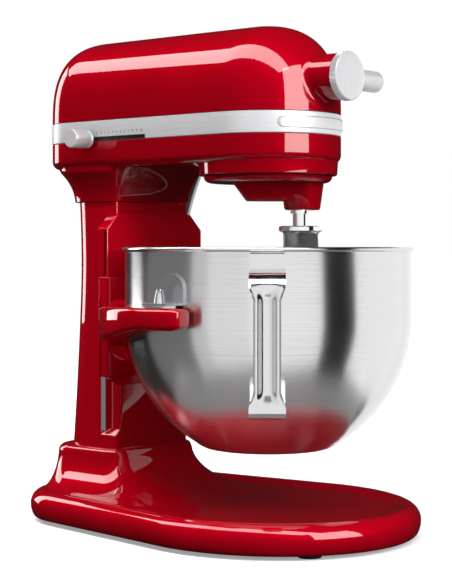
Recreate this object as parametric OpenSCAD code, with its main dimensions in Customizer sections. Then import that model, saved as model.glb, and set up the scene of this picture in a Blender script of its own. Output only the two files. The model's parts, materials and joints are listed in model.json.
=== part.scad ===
// Bowl-lift stand mixer. X points to the front of the mixer, Y to its own left and Z up.
// The origin is on the table, under the axis that the bowl, drum and planetary share.

/* [Head] */
// Height of the top of the head above the table
total_h = 417; // [400:1:440]
// Half width of the head, and radius of its round front
head_r = 60; // [57:0.5:64]
// Length of the head behind the bowl axis
head_back = 221; // [214:1:232]
// Height of the trim band's lower edge
band_z = 325; // [324.5:0.5:327]
// Height of the trim band
band_h = 19.2; // [16:0.2:22]
// Roundness of the front of the dome, as a superellipse power
dome_front_power = 2.45; // [2.2:0.05:3]
// Roundness of the back of the dome, as a superellipse power
dome_back_power = 2.8; // [2.6:0.1:4]
// Height of the power hub's axis
hub_z = 370; // [368:0.5:372]
// Where the hub cap's front face is, ahead of the bowl axis
hub_front = 84; // [80:0.5:90]

/* [Base and column] */
// Reach of the base in front of the bowl axis
base_front = 127.5; // [115:0.5:140]
// Half width of the base at the bowl axis
base_half_w = 119.5; // [108:0.5:130]
// Distance of the column's front face behind the bowl axis
column_front = 130.5; // [130:0.5:132]
// Half width of the column
column_half_w = 45; // [44.6:0.2:46]
// Height of the ledge that the column stands on
ledge_z = 62.5; // [56:0.5:66]
// Height of the joint between the column and the neck
neck_z = 274; // [270:0.5:278]

/* [Bowl and lift] */
// Outer radius of the bowl's straight wall
bowl_r = 117.5; // [108:0.5:118]
// Height of the bowl's rim when it is raised
bowl_rim_z = 235; // [230:0.5:240]
// Depth of the bowl below its rim
bowl_depth = 164; // [160:0.5:166]
// Thickness of the bowl's sheet
bowl_t = 1.2; // [0.8:0.1:2]
// Travel of the bowl lift
lift_travel = 36; // [24:1:40]
// Height of the crank's shaft
crank_z = 235; // [233:0.5:238]
// Direction of the bowl's handle, round the bowl axis
handle_angle = -51; // [-70:1:-30]
// How far the handle's grip stands off the bowl
handle_reach = 40; // [34:1:48]

/* [Drive] */
// Distance of the beater shaft from the bowl axis
planet_offset = 27; // [27:0.5:28.5]
// Direction of the beater shaft at rest
planet_angle = 40.7; // [0:0.1:90]
// Teeth of the fixed ring gear
ring_teeth = 48; // [48:1:48]
// Teeth of the planetary's pinion
planet_teeth = 12; // [12:1:12]
// Teeth of the large gear on the centre shaft
centre_teeth = 42; // [42:1:42]
// Radius of the whisk at its widest
whisk_r = 43; // [30:1:45]

/* [Hidden] */
eps = 0.01;
red = [0.62, 0.02, 0.04];
steel = [0.78, 0.78, 0.80];
dark = [0.16, 0.16, 0.17];
brass = [0.80, 0.66, 0.36];
copper = [0.72, 0.40, 0.22];
wall = 4;                          // thickness of the head's castings
dome_h = total_h - band_z - band_h;
dome_z = band_z + band_h;
sides = [-1, 1];

// ---- outlines and skins ----

// An arc of points about a centre, from angle a0 to a1 in n steps.
function arc(c, r, a0, a1, n) = [for (i = [0:n]) let (a = a0 + (a1 - a0) * i / n)
    [c[0] + r * cos(a), c[1] + r * sin(a)]];

// A rectangle from x0 to x1 and half width w, with corner radius rb behind and rf in front.
function rounded(x0, x1, w, rb, rf, n) = concat(
    arc([x1 - rf, -w + rf], rf, -90, 0, n), arc([x1 - rf, w - rf], rf, 0, 90, n),
    arc([x0 + rb, w - rb], rb, 90, 180, n), arc([x0 + rb, -w + rb], rb, 180, 270, n));

// The head seen from above, inset by d: a half circle in front and rounded corners behind.
function head_outline(d, n = 6) = let (w = head_r - d, x0 = -head_back + d, rb = 0.75 * w)
    concat(arc([0, 0], w, -90, 90, 3 * n), arc([x0 + rb, w - rb], rb, 90, 180, n),
        arc([x0 + rb, -w + rb], rb, 180, 270, n));

// The base seen from above, inset by d: half an ellipse in front, and sides that taper back.
base_corner = [-153.5, base_half_w - 81, 62];
function base_outline(d, n = 8) = let (c = base_corner)
    concat([for (i = [-3 * n:3 * n]) let (a = 98 * i / (3 * n))
        [(base_front - d) * cos(a), (base_half_w - d) * sin(a)]],
        arc([c[0], c[1]], c[2] - d, 97.5, 180, n), arc([c[0], -c[1]], c[2] - d, 180, 262.5, n));

// Lifts an outline to height z.
function at_height(points, z) = [for (p = points) [p[0], p[1], z]];

// A closed solid through rings of points, each ring with the same number of points.
module skin(rings) {
    n = len(rings[0]);
    m = len(rings);
    points = [for (ring = rings) for (p = ring) p];
    quads = [for (j = [0:m - 2]) for (i = [0:n - 1]) let (k = (i + 1) % n)
        [j * n + i, (j + 1) * n + i, (j + 1) * n + k, j * n + k]];
    tris = [for (q = quads) for (t = [[q[0], q[1], q[2]], [q[0], q[2], q[3]]]) t];
    bottom = [for (i = [0:n - 1]) i];
    top = [for (i = [n - 1:-1:0]) (m - 1) * n + i];
    polyhedron(points, concat([bottom], tris, [top]));
}

// The head's dome: each section is a superellipse, rounder in front than at the back.
function dome_power(x) = dome_back_power + (dome_front_power - dome_back_power)
    * min(1, max(0, (x + head_back) / head_back));
function dome_ring(a, inset, top, n) = [for (p = head_outline(inset, n))
    let (k = 2 / dome_power(p[0]), s = max(pow(cos(a), k), 0.05), r = head_r - inset,
        rb = 0.75 * r, cx = p[0] > 0 ? 0 : max(p[0], -head_back + inset + r),
        x = cx + (p[0] - cx) * s)
    [x, p[1] * s, dome_z + top * pow(sin(a), k)]];
module dome(inset, top, rings, n) {
    skin([for (i = [0:rings]) dome_ring(90 * i / rings, inset, top, n)]);
}

// A hexagon-headed screw along -Z with its head on top at the origin.
module screw(r, length, head_r, head_h) {
    cylinder(r = head_r, h = head_h, $fn = 6);
    translate([0, 0, -length]) cylinder(r = r, h = length + eps, $fn = 24);
}

// ---- gears ----

function involute(a) = tan(a) * 180 / PI - a;
// Half the angle of a tooth at radius r, for n teeth, module m and play in millimetres.
function half_tooth(n, m, r, play) = 90 / n - play / (n * m) * 180 / PI + involute(20)
    - involute(acos(min(1, n * m / 2 * cos(20) / r)));
module gear_shape(n, m, add, ded, play, steps = 3) {
    root = n * m / 2 - ded;
    tip = n * m / 2 + add;
    start = max(root + 0.1, n * m / 2 * cos(20));
    radii = concat([root], [for (i = [0:steps]) start + (tip - start) * i / steps]);
    last = len(radii) - 1;
    polygon([for (t = [0:n - 1]) let (mid = 360 * t / n) each concat(
        [for (i = [0:last]) let (a = mid - half_tooth(n, m, radii[i], play)) radii[i] * [cos(a), sin(a)]],
        [for (i = [last:-1:0]) let (a = mid + half_tooth(n, m, radii[i], play)) radii[i] * [cos(a), sin(a)]])]);
}
gear_module = 1.5;
planet_module = 2 * planet_offset / (ring_teeth - planet_teeth);
pinion_teeth = 18;
wheel_teeth = 20;
worm_module = 1.7;
worm_lead = PI * worm_module;
worm_r = 7;
bevel_teeth = 20;
bevel_r = 20;
wheel_y = worm_r + wheel_teeth * worm_module / 2;
gear_distance = (centre_teeth + pinion_teeth) * gear_module / 2;
wheel_x = -sqrt(gear_distance * gear_distance - wheel_y * wheel_y);
mesh_angle = atan2(wheel_y, wheel_x);
motor_z = hub_z - 18;
planet_x = planet_offset * cos(planet_angle);
planet_y = planet_offset * sin(planet_angle);

// ---- base and column ----

foot_z = 24;
function flare(z) = z >= ledge_z - 2.5 ? 0
    : 1 - sqrt(max(0, 1 - pow((ledge_z - 2.5 - z) / (ledge_z - 2.5 - foot_z), 2)));
ledge_back = -210.5;
ledge_front = -column_front + 7;
ledge_w = column_half_w + 7;
ledge_corner = 27;
module foot() {
    heights = [for (i = [0:7]) foot_z - 4 + (ledge_z - 6.5 - foot_z + 4 + 0.1) * (1 - pow(1 - i / 7, 1.6))];
    flared = [for (z = heights) let (f = flare(max(z, foot_z + 0.5)))
        at_height(rounded(ledge_back - 2 * f, ledge_front + 75 * f, ledge_w + 40 * f,
            ledge_corner + 28 * f, 14 + 50 * f, 6), z)];
    shoulder = [for (a = [30:30:90]) at_height(rounded(ledge_back + 8 * (1 - cos(a)),
        ledge_front - 6 * (1 - cos(a)), ledge_w - 6 * (1 - cos(a)), ledge_corner - 4 * (1 - cos(a)),
        14 - 6 * (1 - cos(a)), 6), ledge_z - 6 + 6 * sin(a))];
    skin(concat(flared, shoulder));
}
bolt_spots = [for (x = [-178, -146]) for (s = sides) [x, 33 * s]];
module base_casting() {
    color(red) difference() {
        union() {
            skin([for (p = [[3.5, 3], [1, 4.5], [0, 7], [0, 15], [0.9, 19.6], [3.5, 23.4], [7.4, 26],
                [12, 27], [17, 26], [22, 24.2], [26, 23.4]]) at_height(base_outline(p[0]), p[1])]);
            foot();
        }
        translate([0, 0, 2]) linear_extrude(15) polygon(base_outline(14));
        translate([-186, -22, 10]) cube([48, 44, 42]);
        for (p = bolt_spots) translate([p[0], p[1], 10]) cylinder(r = 4.2, h = 60, $fn = 32);
    }
}
module base_cover() {
    color(dark) difference() {
        translate([0, 0, 3]) linear_extrude(2.5) polygon(base_outline(14.4));
        for (p = bolt_spots) translate([p[0], p[1], 0]) cylinder(r = 9, h = 10, $fn = 32);
        for (p = feet_spots) for (s = sides) translate([p[0], s * p[1], 0])
            cylinder(r = foot_stem_r, h = 10, $fn = 24);
    }
}
// The feet stand just inside the base's edge: in front, beside the bowl axis and in the rear corner.
foot_stem_r = 3;
feet_spots = [
    [(base_front - 19.5) * cos(35.43), (base_half_w - 19.5) * sin(35.43)],
    [(base_front - 26.5) * cos(101.4), (base_half_w - 26.5) * sin(101.4)],
    [base_corner[0] - 14, base_corner[1] + 23.5]];
module rubber_feet() {
    color(dark) for (p = feet_spots) for (s = sides) translate([p[0], p[1] * s, 0]) {
        cylinder(r1 = 9, r2 = 10, h = 3, $fn = 48);
        translate([0, 0, 3 - eps]) cylinder(r = foot_stem_r, h = 5, $fn = 24);
    }
}
module column_bolts() {
    color(steel) for (p = bolt_spots) translate([p[0], p[1], 16.9]) mirror([0, 0, 1])
        screw(3.85, 56, 6.5, 4.5);
}
function column_back(z) = -192 - 10 * pow(max(0, (217 - z) / 155), 1.4) - 2 * pow(max(0, (z - 217) / 57), 2);
window_w = 12;
window_low = 92;
window_h = 68;
height_spot = [22, 225];
// The hollow of the column and neck, deeper along the middle, where the lift link runs.
module column_cavity(z, h) {
    translate([-170, -38, z]) cube([33, 76, h]);
    translate([-186, -22, z]) cube([49, 44, h]);
    translate([-189.5, -10, max(z, 168)]) cube([52.5, 20, h]);
}
module column() {
    color(red) difference() {
        skin([for (i = [0:7]) let (z = ledge_z + (neck_z - 0.4 - ledge_z) * i / 7)
            at_height(rounded(column_back(z), -column_front, column_half_w, 32, 4, 5), z)]);
        column_cavity(ledge_z + 16, 250);
        translate([-186, -14, ledge_z - 1]) cube([49, 28, 20]);
        translate([-140, -window_w, window_low]) cube([12, 2 * window_w, window_h]);
        translate([-141, height_spot[0], height_spot[1]]) rotate([0, 90, 0]) cylinder(r = 3, h = 14, $fn = 32);
        translate([crank_x, 70, crank_z]) rotate([90, 0, 0]) cylinder(r = 8, h = 70 - bush_end, $fn = 48);
        for (s = sides) translate([-148, s * (column_half_w + 0.5) - 1, 77]) cube([5.6, 2, 121]);
        for (p = bolt_spots) translate([p[0], p[1], 50]) cylinder(r = 3.9, h = 60, $fn = 24);
        for (p = screw_spots) translate([-141, p[0], p[1]]) rotate([0, 90, 0]) cylinder(r = 1.9, h = 14, $fn = 24);
        translate([-200, 0, 88]) rotate([0, 90, 0]) cylinder(r = 7, h = 30, center = true, $fn = 32);
    }
}
screw_spots = [for (z = [135, 222]) for (s = sides) [30 * s, z]];
slab_t = 4;
module guide_slab() {
    color(red) translate([-column_front, 0, 0]) rotate([90, 0, 90]) difference() {
        linear_extrude(slab_t) polygon([[-45, 264], [-60, 250], [-60, 125], [-45, 117],
            [45, 117], [60, 125], [60, 250], [45, 264]]);
        translate([-window_w, window_low, -1]) cube([2 * window_w, window_h, 10]);
        translate([height_spot[0], height_spot[1], -1]) cylinder(r = 3, h = 10, $fn = 32);
        for (p = screw_spots) translate([p[0], p[1], -1]) cylinder(r = 2.1, h = 10, $fn = 24);
        for (p = screw_spots) translate([p[0], p[1], slab_t - 2]) cylinder(r = 4, h = 5, $fn = 32);
    }
}
module guide_rails() {
    color(steel) for (s = sides) translate([-147.8, s * (column_half_w + 0.5) - 1, 77.4])
        translate([0, s > 0 ? 0.05 : 0.55, 0]) cube([5.2, 1.4, 120]);
}
module slab_screws() {
    color(steel) for (p = screw_spots) translate([-column_front + slab_t - 2, p[0], p[1]])
        rotate([0, 90, 0]) {
            cylinder(r = 3.8, h = 1.8, $fn = 32);
            translate([0, 0, -11]) cylinder(r = 1.8, h = 11 + eps, $fn = 24);
        }
}
crank_x = -158;
// The lift shaft's bushes: one through the far wall, and one in a blind seat in the near wall.
bush_end = 2 - column_half_w;
module shaft_bushes() {
    color(brass) for (y = [column_half_w, bush_end + 5.2]) translate([crank_x, y, crank_z])
        rotate([90, 0, 0]) difference() {
            cylinder(r = 7.95, h = y > 0 ? 7 : 5.1, $fn = 48);
            translate([0, 0, -1]) cylinder(r = 5.05, h = 20, $fn = 48);
        }
}
module height_screw() {
    color(steel) translate([-134, height_spot[0], height_spot[1]]) rotate([0, 90, 0])
        cylinder(r = 3, h = 6.5, $fn = 32);
}
module cord_grommet() {
    color(dark) translate([-200, 0, 88]) rotate([0, -90, 0]) difference() {
        union() {
            translate([0, 0, -13]) cylinder(r = 6.9, h = 15, $fn = 48);
            translate([0, 0, 1]) cylinder(r1 = 9.5, r2 = 7, h = 5, $fn = 48);
        }
        translate([0, 0, -20]) cylinder(r = 3.6, h = 40, $fn = 48);
    }
}

// ---- head ----

under_z = 303;
drum_r = 57.8;
drum_low = 293.4;
neck_w = column_half_w + 2.5;
module neck() {
    skin([for (i = [0:8]) let (z = neck_z + (under_z + 5 - neck_z) * i / 8,
        f = 42 - sqrt(max(0, 42 * 42 - pow(max(0, z - neck_z + 2), 2))),
        w = min(neck_w + f, head_r - 3))
        at_height(rounded(-198.5 - f, -column_front + 2.5 + f, w, 34 + 0.5 * f, 5 + 0.8 * f, 5), z)]);
}
module slot() {
    translate([-159, -70, band_z - 0.4]) cube([77, 30, 4]);
}
module lower_housing() {
    color(red) difference() {
        union() {
            skin([for (p = [[8, under_z + 0.3], [4.6, under_z + 1], [2.2, under_z + 2.6], [0.6, under_z + 5],
                [0, under_z + 7.5], [0, band_z - 0.4]]) at_height(head_outline(p[0]), p[1])]);
            neck();
            rotate_extrude($fn = 96) polygon([[0, 318], [head_r - 2, 318], [drum_r, 307.5],
                [drum_r - 1, drum_low], [0, drum_low]]);
        }
        translate([0, 0, 312]) linear_extrude(20) polygon(head_outline(wall));
        column_cavity(262, 60);
        translate([0, 0, 280]) cylinder(r = 51, h = 22, $fn = 96);
        cylinder(r = 11, h = 400, $fn = 48);
        for (p = plate_posts) translate([p[0], p[1], 305]) cylinder(r = 1.7, h = 30, $fn = 24);
        slot();
    }
}
module upper_housing() {
    color(red) difference() {
        union() {
            dome(0, dome_h, 14, 6);
            translate([0, 0, hub_z]) rotate([0, 90, 0]) rotate_extrude($fn = 96)
                polygon(concat([[0, 30], [26, 46]], [for (a = [0:15:90])
                    [18.8 + 8.2 * (1 - sin(a)), 56 + 10 * (1 - cos(a))]], [[18.4, hub_front - 7], [0, hub_front - 7]]));
        }
        intersection() {
            translate([0, 0, -1]) dome(wall, dome_h - wall + 1, 9, 4);
            translate([-400, -100, 0]) cube([446, 200, 600]);
        }
        translate([20, 0, hub_z]) rotate([0, 90, 0]) cylinder(r = 15, h = 80, $fn = 64);
        translate([70, 0, hub_z]) rotate([-90, 0, 0]) cylinder(r = 3.1, h = 40, $fn = 32);
        for (i = [0:5]) translate([-head_back - 11, -24, 356 + 6 * i]) cube([30, 48, 2.6]);
    }
}
module trim_band() {
    color(steel) difference() {
        translate([0, 0, band_z]) linear_extrude(band_h - 0.4) polygon(head_outline(-0.3));
        translate([0, 0, band_z - 1]) linear_extrude(band_h + 2) polygon(head_outline(wall));
        slot();
    }
}
module band_badge() {
    color(steel) intersection() {
        translate([0, 0, band_z + 4.5]) linear_extrude(10) difference() {
            polygon(head_outline(-1.5));
            polygon(head_outline(-0.3));
        }
        translate([-12, -80, 0]) cube([62, 60, 500]);
    }
}
module housing_screws() {
    color(steel) for (p = plate_posts) translate([p[0], p[1], plate_z + 3]) screw(1.6, 22, 3, 2);
}

// ---- motor and gearbox ----

plate_z = 332;
plate_posts = [[-62, 45], [-62, -45], [28, 38], [28, -38]];
module gearbox_plate() {
    color(steel) difference() {
        union() {
            translate([-72, -50, plate_z]) cube([112, 100, 3]);
            for (p = plate_posts) translate([p[0], p[1], 312]) cylinder(r = 5, h = plate_z - 312 + eps, $fn = 32);
        }
        for (p = plate_posts) translate([p[0], p[1], 300]) cylinder(r = 1.7, h = 60, $fn = 24);
        cylinder(r = 11, h = 400, $fn = 48);
        translate([wheel_x, wheel_y, 300]) cylinder(r = 7, h = 60, $fn = 48);
        difference() {
            translate([20, -60, 300]) cube([50, 120, 60]);
            cylinder(r = 54, h = 400, $fn = 64);
        }
    }
}
module shaft_bearings() {
    color(steel) for (z = [302.4, plate_z - 1]) translate([0, 0, z]) difference() {
        cylinder(r = 10.9, h = 7, $fn = 48);
        translate([0, 0, -1]) cylinder(r = 6.05, h = 20, $fn = 48);
    }
    color(steel) translate([wheel_x, wheel_y, plate_z - 1]) difference() {
        cylinder(r = 6.95, h = 5, $fn = 48);
        translate([0, 0, -1]) cylinder(r = 4.05, h = 20, $fn = 48);
    }
}
stator_x = -160;
stator_len = 52;
module motor_stator() {
    color(dark) translate([stator_x, 0, motor_z]) rotate([0, 90, 0]) difference() {
        cylinder(r = 36, h = stator_len, $fn = 64);
        translate([0, 0, -1]) cylinder(r = 22.5, h = 60, $fn = 64);
        for (s = sides) translate([-40, s * 36 - 5, -1]) cube([80, 10, 60]);
    }
    color(copper) for (s = sides) translate([stator_x - 6, -6, motor_z + s * 28 - 3]) cube([10, 12, 6]);
}
module motor_brackets() {
    color(steel) for (x = [-178, -98]) translate([x, 0, motor_z]) rotate([0, 90, 0]) difference() {
        union() {
            cylinder(r = 14, h = 4, $fn = 48);
            translate([-8, -46, 0]) cube([16, 92, 4]);
            translate([0, -10, 0]) cube([motor_z - 312, 20, 4]);
        }
        translate([0, 0, -1]) cylinder(r = 4.05, h = 10, $fn = 48);
    }
}
module motor_brushes() {
    color(dark) for (s = sides) translate([-196, s * 18 - 6, motor_z - 3]) {
        translate([0, s > 0 ? 0.6 : 0, 0]) cube([7, 11.4, 6]);
    }
    color(brass) for (s = sides) translate([-192.5, s * 27, motor_z]) rotate([90, 0, 0])
        difference() {
            cylinder(r = 6, h = 10, center = true, $fn = 32);
            cube([7.2, 6.2, 30], center = true);
        }
}
module speed_board() {
    color([0.05, 0.3, 0.12]) translate([-150, 30, 314]) cube([60, 22, 1.6]);
    color(dark) for (i = [0:2]) translate([-142 + 18 * i, 34, 315.5]) cube([8, 12, 6]);
}
module ring_gear() {
    color(steel) difference() {
        translate([0, 0, drum_low]) cylinder(r = 50.8, h = 8.6, $fn = 96);
        translate([0, 0, 280]) rotate([0, 0, planet_angle]) linear_extrude(30)
            gear_shape(ring_teeth, planet_module, 1.9, 1.2, -0.05, 2);
    }
}
module hub_bush() {
    color(brass) translate([34, 0, hub_z]) rotate([0, 90, 0]) difference() {
        cylinder(r = 14.95, h = 20, $fn = 64);
        translate([0, 0, -1]) cylinder(r = 12.05, h = 30, $fn = 64);
    }
}

// ---- carriage, bowl and lift ----

clear = 0.35;
carriage_low = 125;
lip_back = -column_front - 5;
carriage_top = 210;
slab_front = -column_front + slab_t;
carriage_front = slab_front + 6.2;
arm_low = 154.5;
arm_z = 188.7;
pin_y = bowl_r + 12.5;
module carriage() {
    color(red) difference() {
        union() {
            difference() {
                translate([lip_back, -65, carriage_low])
                    cube([carriage_front - lip_back, 130, carriage_top - carriage_low]);
                translate([-200, -61, carriage_low - 1]) cube([200 + slab_front + clear, 122, 100]);
                for (s = sides) translate([0, s * 65, carriage_top]) rotate([45, 0, 0])
                    cube([300, 8, 8], center = true);
            }
            for (s = sides) translate([lip_back, s > 0 ? column_half_w + 2 : -65, carriage_low])
                cube([-column_front - 0.5 - lip_back, 63 - column_half_w, carriage_top - carriage_low - 17]);
            for (s = sides) on_side(s) arm();
        }
        translate([carriage_front - 6, -8, 178]) cube([10, 16, 40]);
        for (s = sides) translate([0, s * pin_y, arm_z - 8]) cylinder(r = 3, h = 10, $fn = 24);
    }
}
module on_side(s) {
    if (s > 0) children();
    else mirror([0, 1, 0]) children();
}
// One arm, swept round the bowl at constant clearance, deeper towards its root, with a straight
// block that joins it to the carriage.
arm_steps = 12;
arm_sweep = 70;
arm_start = 152.5;
arm_gap = 1.6;
module arm() {
    root = (bowl_r + arm_gap) * [cos(arm_start), sin(arm_start)];
    translate([carriage_front - 3, root[1], arm_low + 0.5])
        cube([root[0] - carriage_front + 3, 8.5, arm_z - 4 - arm_low]);
    skin([for (i = [0:arm_steps]) let (t = i / arm_steps, a = arm_start - arm_sweep * t,
        low = arm_low + 17 * pow(t, 1.5), top = arm_z - 3.4 * pow(1 - t, 1.5),
        r0 = bowl_r + arm_gap + 2.4 * t, r1 = bowl_r + 21 + 2.2 * t - 2 * pow(t, 6),
        s = 4)
        [for (p = [[r0 + s, low], [r1 - s, low], [r1, low + s], [r1, top - s], [r1 - s, top],
            [r0 + s, top], [r0, top - s], [r0, low + s]]) [p[0] * cos(a), p[0] * sin(a), p[1]]]]);
    translate([0, pin_y, 171]) cylinder(r = 10.8, h = arm_z - 171, $fn = 48);
}
module arm_plates() {
    color(steel) for (s = sides) translate([0, s * pin_y, arm_z]) difference() {
        translate([-9, -8, 0]) cube([18, 16, 1.6]);
        translate([0, 0, -1]) cylinder(r = 3.05, h = 10, $fn = 24);
    }
}
module locating_pins() {
    color(steel) for (s = sides) translate([0, s * pin_y, arm_z]) {
        translate([0, 0, -7]) cylinder(r = 2.95, h = 7.1 + 1.6, $fn = 32);
        translate([0, 0, 1.6]) cylinder(r = 4.4, h = 4, $fn = 48);
        translate([0, 0, 5.6 - eps]) cylinder(r1 = 4.4, r2 = 2.2, h = 8.5, $fn = 48);
    }
}
module latch_spring() {
    color(steel) translate([carriage_front - 5.6, -7, 179]) difference() {
        cube([1.6, 14, 26]);
        translate([-1, 3.7, 8]) cube([5, 6.6, 30]);
    }
}
crank_r = lift_travel / 1.5;
crank_swing = 2 * asin(lift_travel / 2 / crank_r);
roller_r = 3.5;
roller_x = crank_x - crank_r * cos(crank_swing / 2);
roller_z = crank_z + crank_r * sin(crank_swing / 2);
// The link hangs below the crank's shaft and rises again behind it, to the roller's slot.
link_low = crank_z - 23;
module lift_link() {
    slot_r = roller_r + 1.1;
    color(steel) difference() {
        union() {
            translate([slab_front - 12, -10, 130]) cube([12 + clear - 0.05, 20, 26]);
            translate([-148, -3, 132]) cube([14, 6, 20]);
            translate([-148, -3, 132]) cube([7, 6, link_low + 14 - 132]);
            translate([crank_x - 29.5, -3, link_low]) cube([46.5, 6, 14]);
            translate([crank_x - 29.5, -3, link_low]) cube([21.5, 6, roller_z + 10 - link_low]);
        }
        translate([crank_x - 28, -5, roller_z - slot_r]) cube([16.5, 10, 2 * slot_r]);
    }
}
// The wall is straight above and an arc below, up to the angle where the flat bottom begins.
bowl_arc_r = bowl_r + 3.5;
bowl_arc = 63.19;
bowl_low = bowl_rim_z - bowl_depth;
round_z = bowl_low + bowl_arc_r * sin(bowl_arc);
module bowl_profile() {
    big_r = bowl_arc_r;
    low_z = bowl_low;
    last = bowl_arc;
    outer = [for (i = [0:14]) let (a = last * i / 14)
        [bowl_r - big_r + big_r * cos(a), round_z - big_r * sin(a)]];
    inner = [for (i = [14:-1:0]) let (a = last * i / 14)
        [bowl_r - big_r + (big_r - bowl_t) * cos(a), round_z - (big_r - bowl_t) * sin(a)]];
    polygon(concat([[bowl_r, bowl_rim_z - 3.3]], outer, [[outer[14][0] - 3, low_z - 0.5], [0, low_z - 0.5],
        [0, low_z - 0.5 + bowl_t], [outer[14][0] - 3, low_z - 0.5 + bowl_t]], inner,
        [[bowl_r - bowl_t, bowl_rim_z - 3.3]]));
    translate([bowl_r + 0.9, bowl_rim_z - 1.7]) circle(r = 1.7, $fn = 24);
    translate([bowl_r - bowl_t, bowl_rim_z - 3.4]) square([2.1, 2]);
}
module bowl_shell() {
    color(steel) rotate_extrude($fn = 128) bowl_profile();
}
function wall_r(z) = bowl_r - bowl_arc_r
    + (z > round_z ? bowl_arc_r : sqrt(bowl_arc_r * bowl_arc_r - pow(round_z - z, 2)));
// The handle from the side: a flat strip bent into a C, with ends inside the bowl's wall line.
handle_t = 2;
function handle_side(d) = let (x = bowl_r + handle_reach - d, z = bowl_rim_z)
    concat([[bowl_r - 30, z - 17.5 - d]], arc([x - 14, z - 33.5], 14, 90, 0, 4),
        arc([x - 12, z - 115.5], 12, 0, -90, 4), [[bowl_r - 30, z - 127.5 + d]]);
// The handle from the front: wide at its ends, and waisted where the hand goes round it.
function handle_front(s) = [for (p = [[13.5, 0], [13.5, 24], [11, 34], [10, 46], [10, 96], [11, 108],
    [13.5, 118], [13.5, 140]]) [s * p[0], bowl_rim_z - p[1]]];
handle_span = 13.5 / bowl_r * 180 / PI;
module bowl_handle() {
    color(steel) rotate([0, 0, handle_angle]) {
        difference() {
            intersection() {
                rotate([90, 0, 0]) linear_extrude(40, center = true) difference() {
                    polygon(handle_side(0));
                    polygon(handle_side(handle_t));
                }
                translate([60, 0, 0]) rotate([90, 0, 90]) linear_extrude(140)
                    polygon(concat(handle_front(1), [for (i = [7:-1:0]) handle_front(-1)[i]]));
            }
            rotate_extrude($fn = 128) polygon(concat([[0, 0]], [for (z = [bowl_rim_z - 150:5:bowl_rim_z])
                [wall_r(z) + 0.1, z]], [[0, bowl_rim_z]]));
        }
        rotate([0, 0, -handle_span]) rotate_extrude(angle = 2 * handle_span, $fn = 128) {
            translate([bowl_r + 0.05, bowl_rim_z - 19.4]) square([1.5, 14.4]);
            polygon(concat([for (z = [-127.4:4:-103.4]) [wall_r(bowl_rim_z + z) + 0.05, bowl_rim_z + z]],
                [for (z = [-103.4:-4:-127.4]) [wall_r(bowl_rim_z + z) + 1.7, bowl_rim_z + z]]));
        }
    }
}
module bowl_brackets() {
    color(steel) for (s = sides) on_side(s) difference() {
        union() {
            translate([1.6, bowl_r + 1.6, 0]) rotate([90, 0, 0]) linear_extrude(3) union() {
                translate([0, bowl_rim_z - 33]) circle(r = 12.3, $fn = 64);
                translate([-12.3, arm_z + 2]) square([24.6, bowl_rim_z - 33 - arm_z - 2]);
            }
            translate([-10.7, bowl_r + 0.8, arm_z + 1.95]) cube([24.6, 20.5, 1.6]);
        }
        translate([0, pin_y, 100]) cylinder(r = 4.9, h = 200, $fn = 48);
        cylinder(r = bowl_r + 0.02, h = 300, $fn = 128);
    }
}
module bowl_stud() {
    stud_x = carriage_front - 3.8;
    color(steel) translate([stud_x, 0, 191]) rotate([0, 90, 0])
        cylinder(r = 3, h = -bowl_r - stud_x, $fn = 32);
}
lever_y = 62.5;
module lift_lever() {
    color(steel) difference() {
        union() {
            translate([0, lever_y + 4, 0]) rotate([90, 0, 0]) linear_extrude(4) union() {
                translate([crank_x, crank_z]) circle(r = 10, $fn = 48);
                polygon([[crank_x - 8.4, crank_z + 4], [crank_x + 8, crank_z + 5], [-145.7, 268.5],
                    [-127, 307], [-131, 313.5], [-139.5, 314], [-158.8, 274]]);
            }
            translate([-135.3, lever_y + 3, 306]) rotate([-90, 0, 0]) cylinder(r = 6, h = 12, $fn = 48);
        }
        translate([crank_x, 0, crank_z]) rotate([-90, 0, 0]) cylinder(r = 4, h = 100, $fn = 32);
    }
}
module lift_shaft() {
    start = bush_end + 0.3;
    color(steel) translate([crank_x, start, crank_z]) rotate([-90, 0, 0]) {
        cylinder(r = 5, h = lever_y - start - 0.05, $fn = 48);
        cylinder(r = 3.98, h = lever_y - start + 4, $fn = 32);
        translate([0, 0, lever_y - start + 4]) cylinder(r = 6, h = 2, $fn = 48);
    }
}
crank_y = 4;
module crank_arm() {
    color(steel) difference() {
        translate([0, crank_y + 5, 0]) rotate([90, 0, 0]) linear_extrude(5) difference() {
            union() {
                translate([crank_x, crank_z]) circle(r = 9, $fn = 48);
                translate([roller_x, roller_z]) circle(r = 4.6, $fn = 48);
                translate([crank_x, crank_z]) rotate([0, 0, 180 - crank_swing / 2])
                    translate([0, -4.5]) square([crank_r, 9]);
            }
            translate([crank_x, crank_z]) circle(r = 5.02, $fn = 48);
            translate([roller_x, roller_z]) circle(r = 1.8, $fn = 24);
        }
    }
}
module crank_roller() {
    color(brass) translate([roller_x, -3, roller_z]) rotate([-90, 0, 0]) {
        cylinder(r = roller_r, h = crank_y + 3 - 0.05, $fn = 32);
        cylinder(r = 1.75, h = crank_y + 8, $fn = 24);
    }
}
module speed_knob() {
    color(steel) translate([-146.7, -62, band_z + 1.8]) rotate([90, 0, 0]) rotate_extrude($fn = 64)
        polygon([[0, 1], [7.4, 1], [7.4, 3], [7, 3.4], [7, 5], [7.85, 5.6], [7.85, 20.4], [7.2, 21.8],
            [0, 21.8]]);
}
module speed_slider() {
    color(dark) {
        translate([-146.7, -50, band_z + 1.8]) rotate([90, 0, 0]) cylinder(r = 1.3, h = 13, $fn = 24);
        translate([-152, -50.05, band_z - 4.5]) cube([12, 1.5, 12]);
        translate([-152, -49, band_z - 4.5]) cube([12, 12, 1.5]);
    }
}

// ---- planetary, whisk and drive ----

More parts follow.
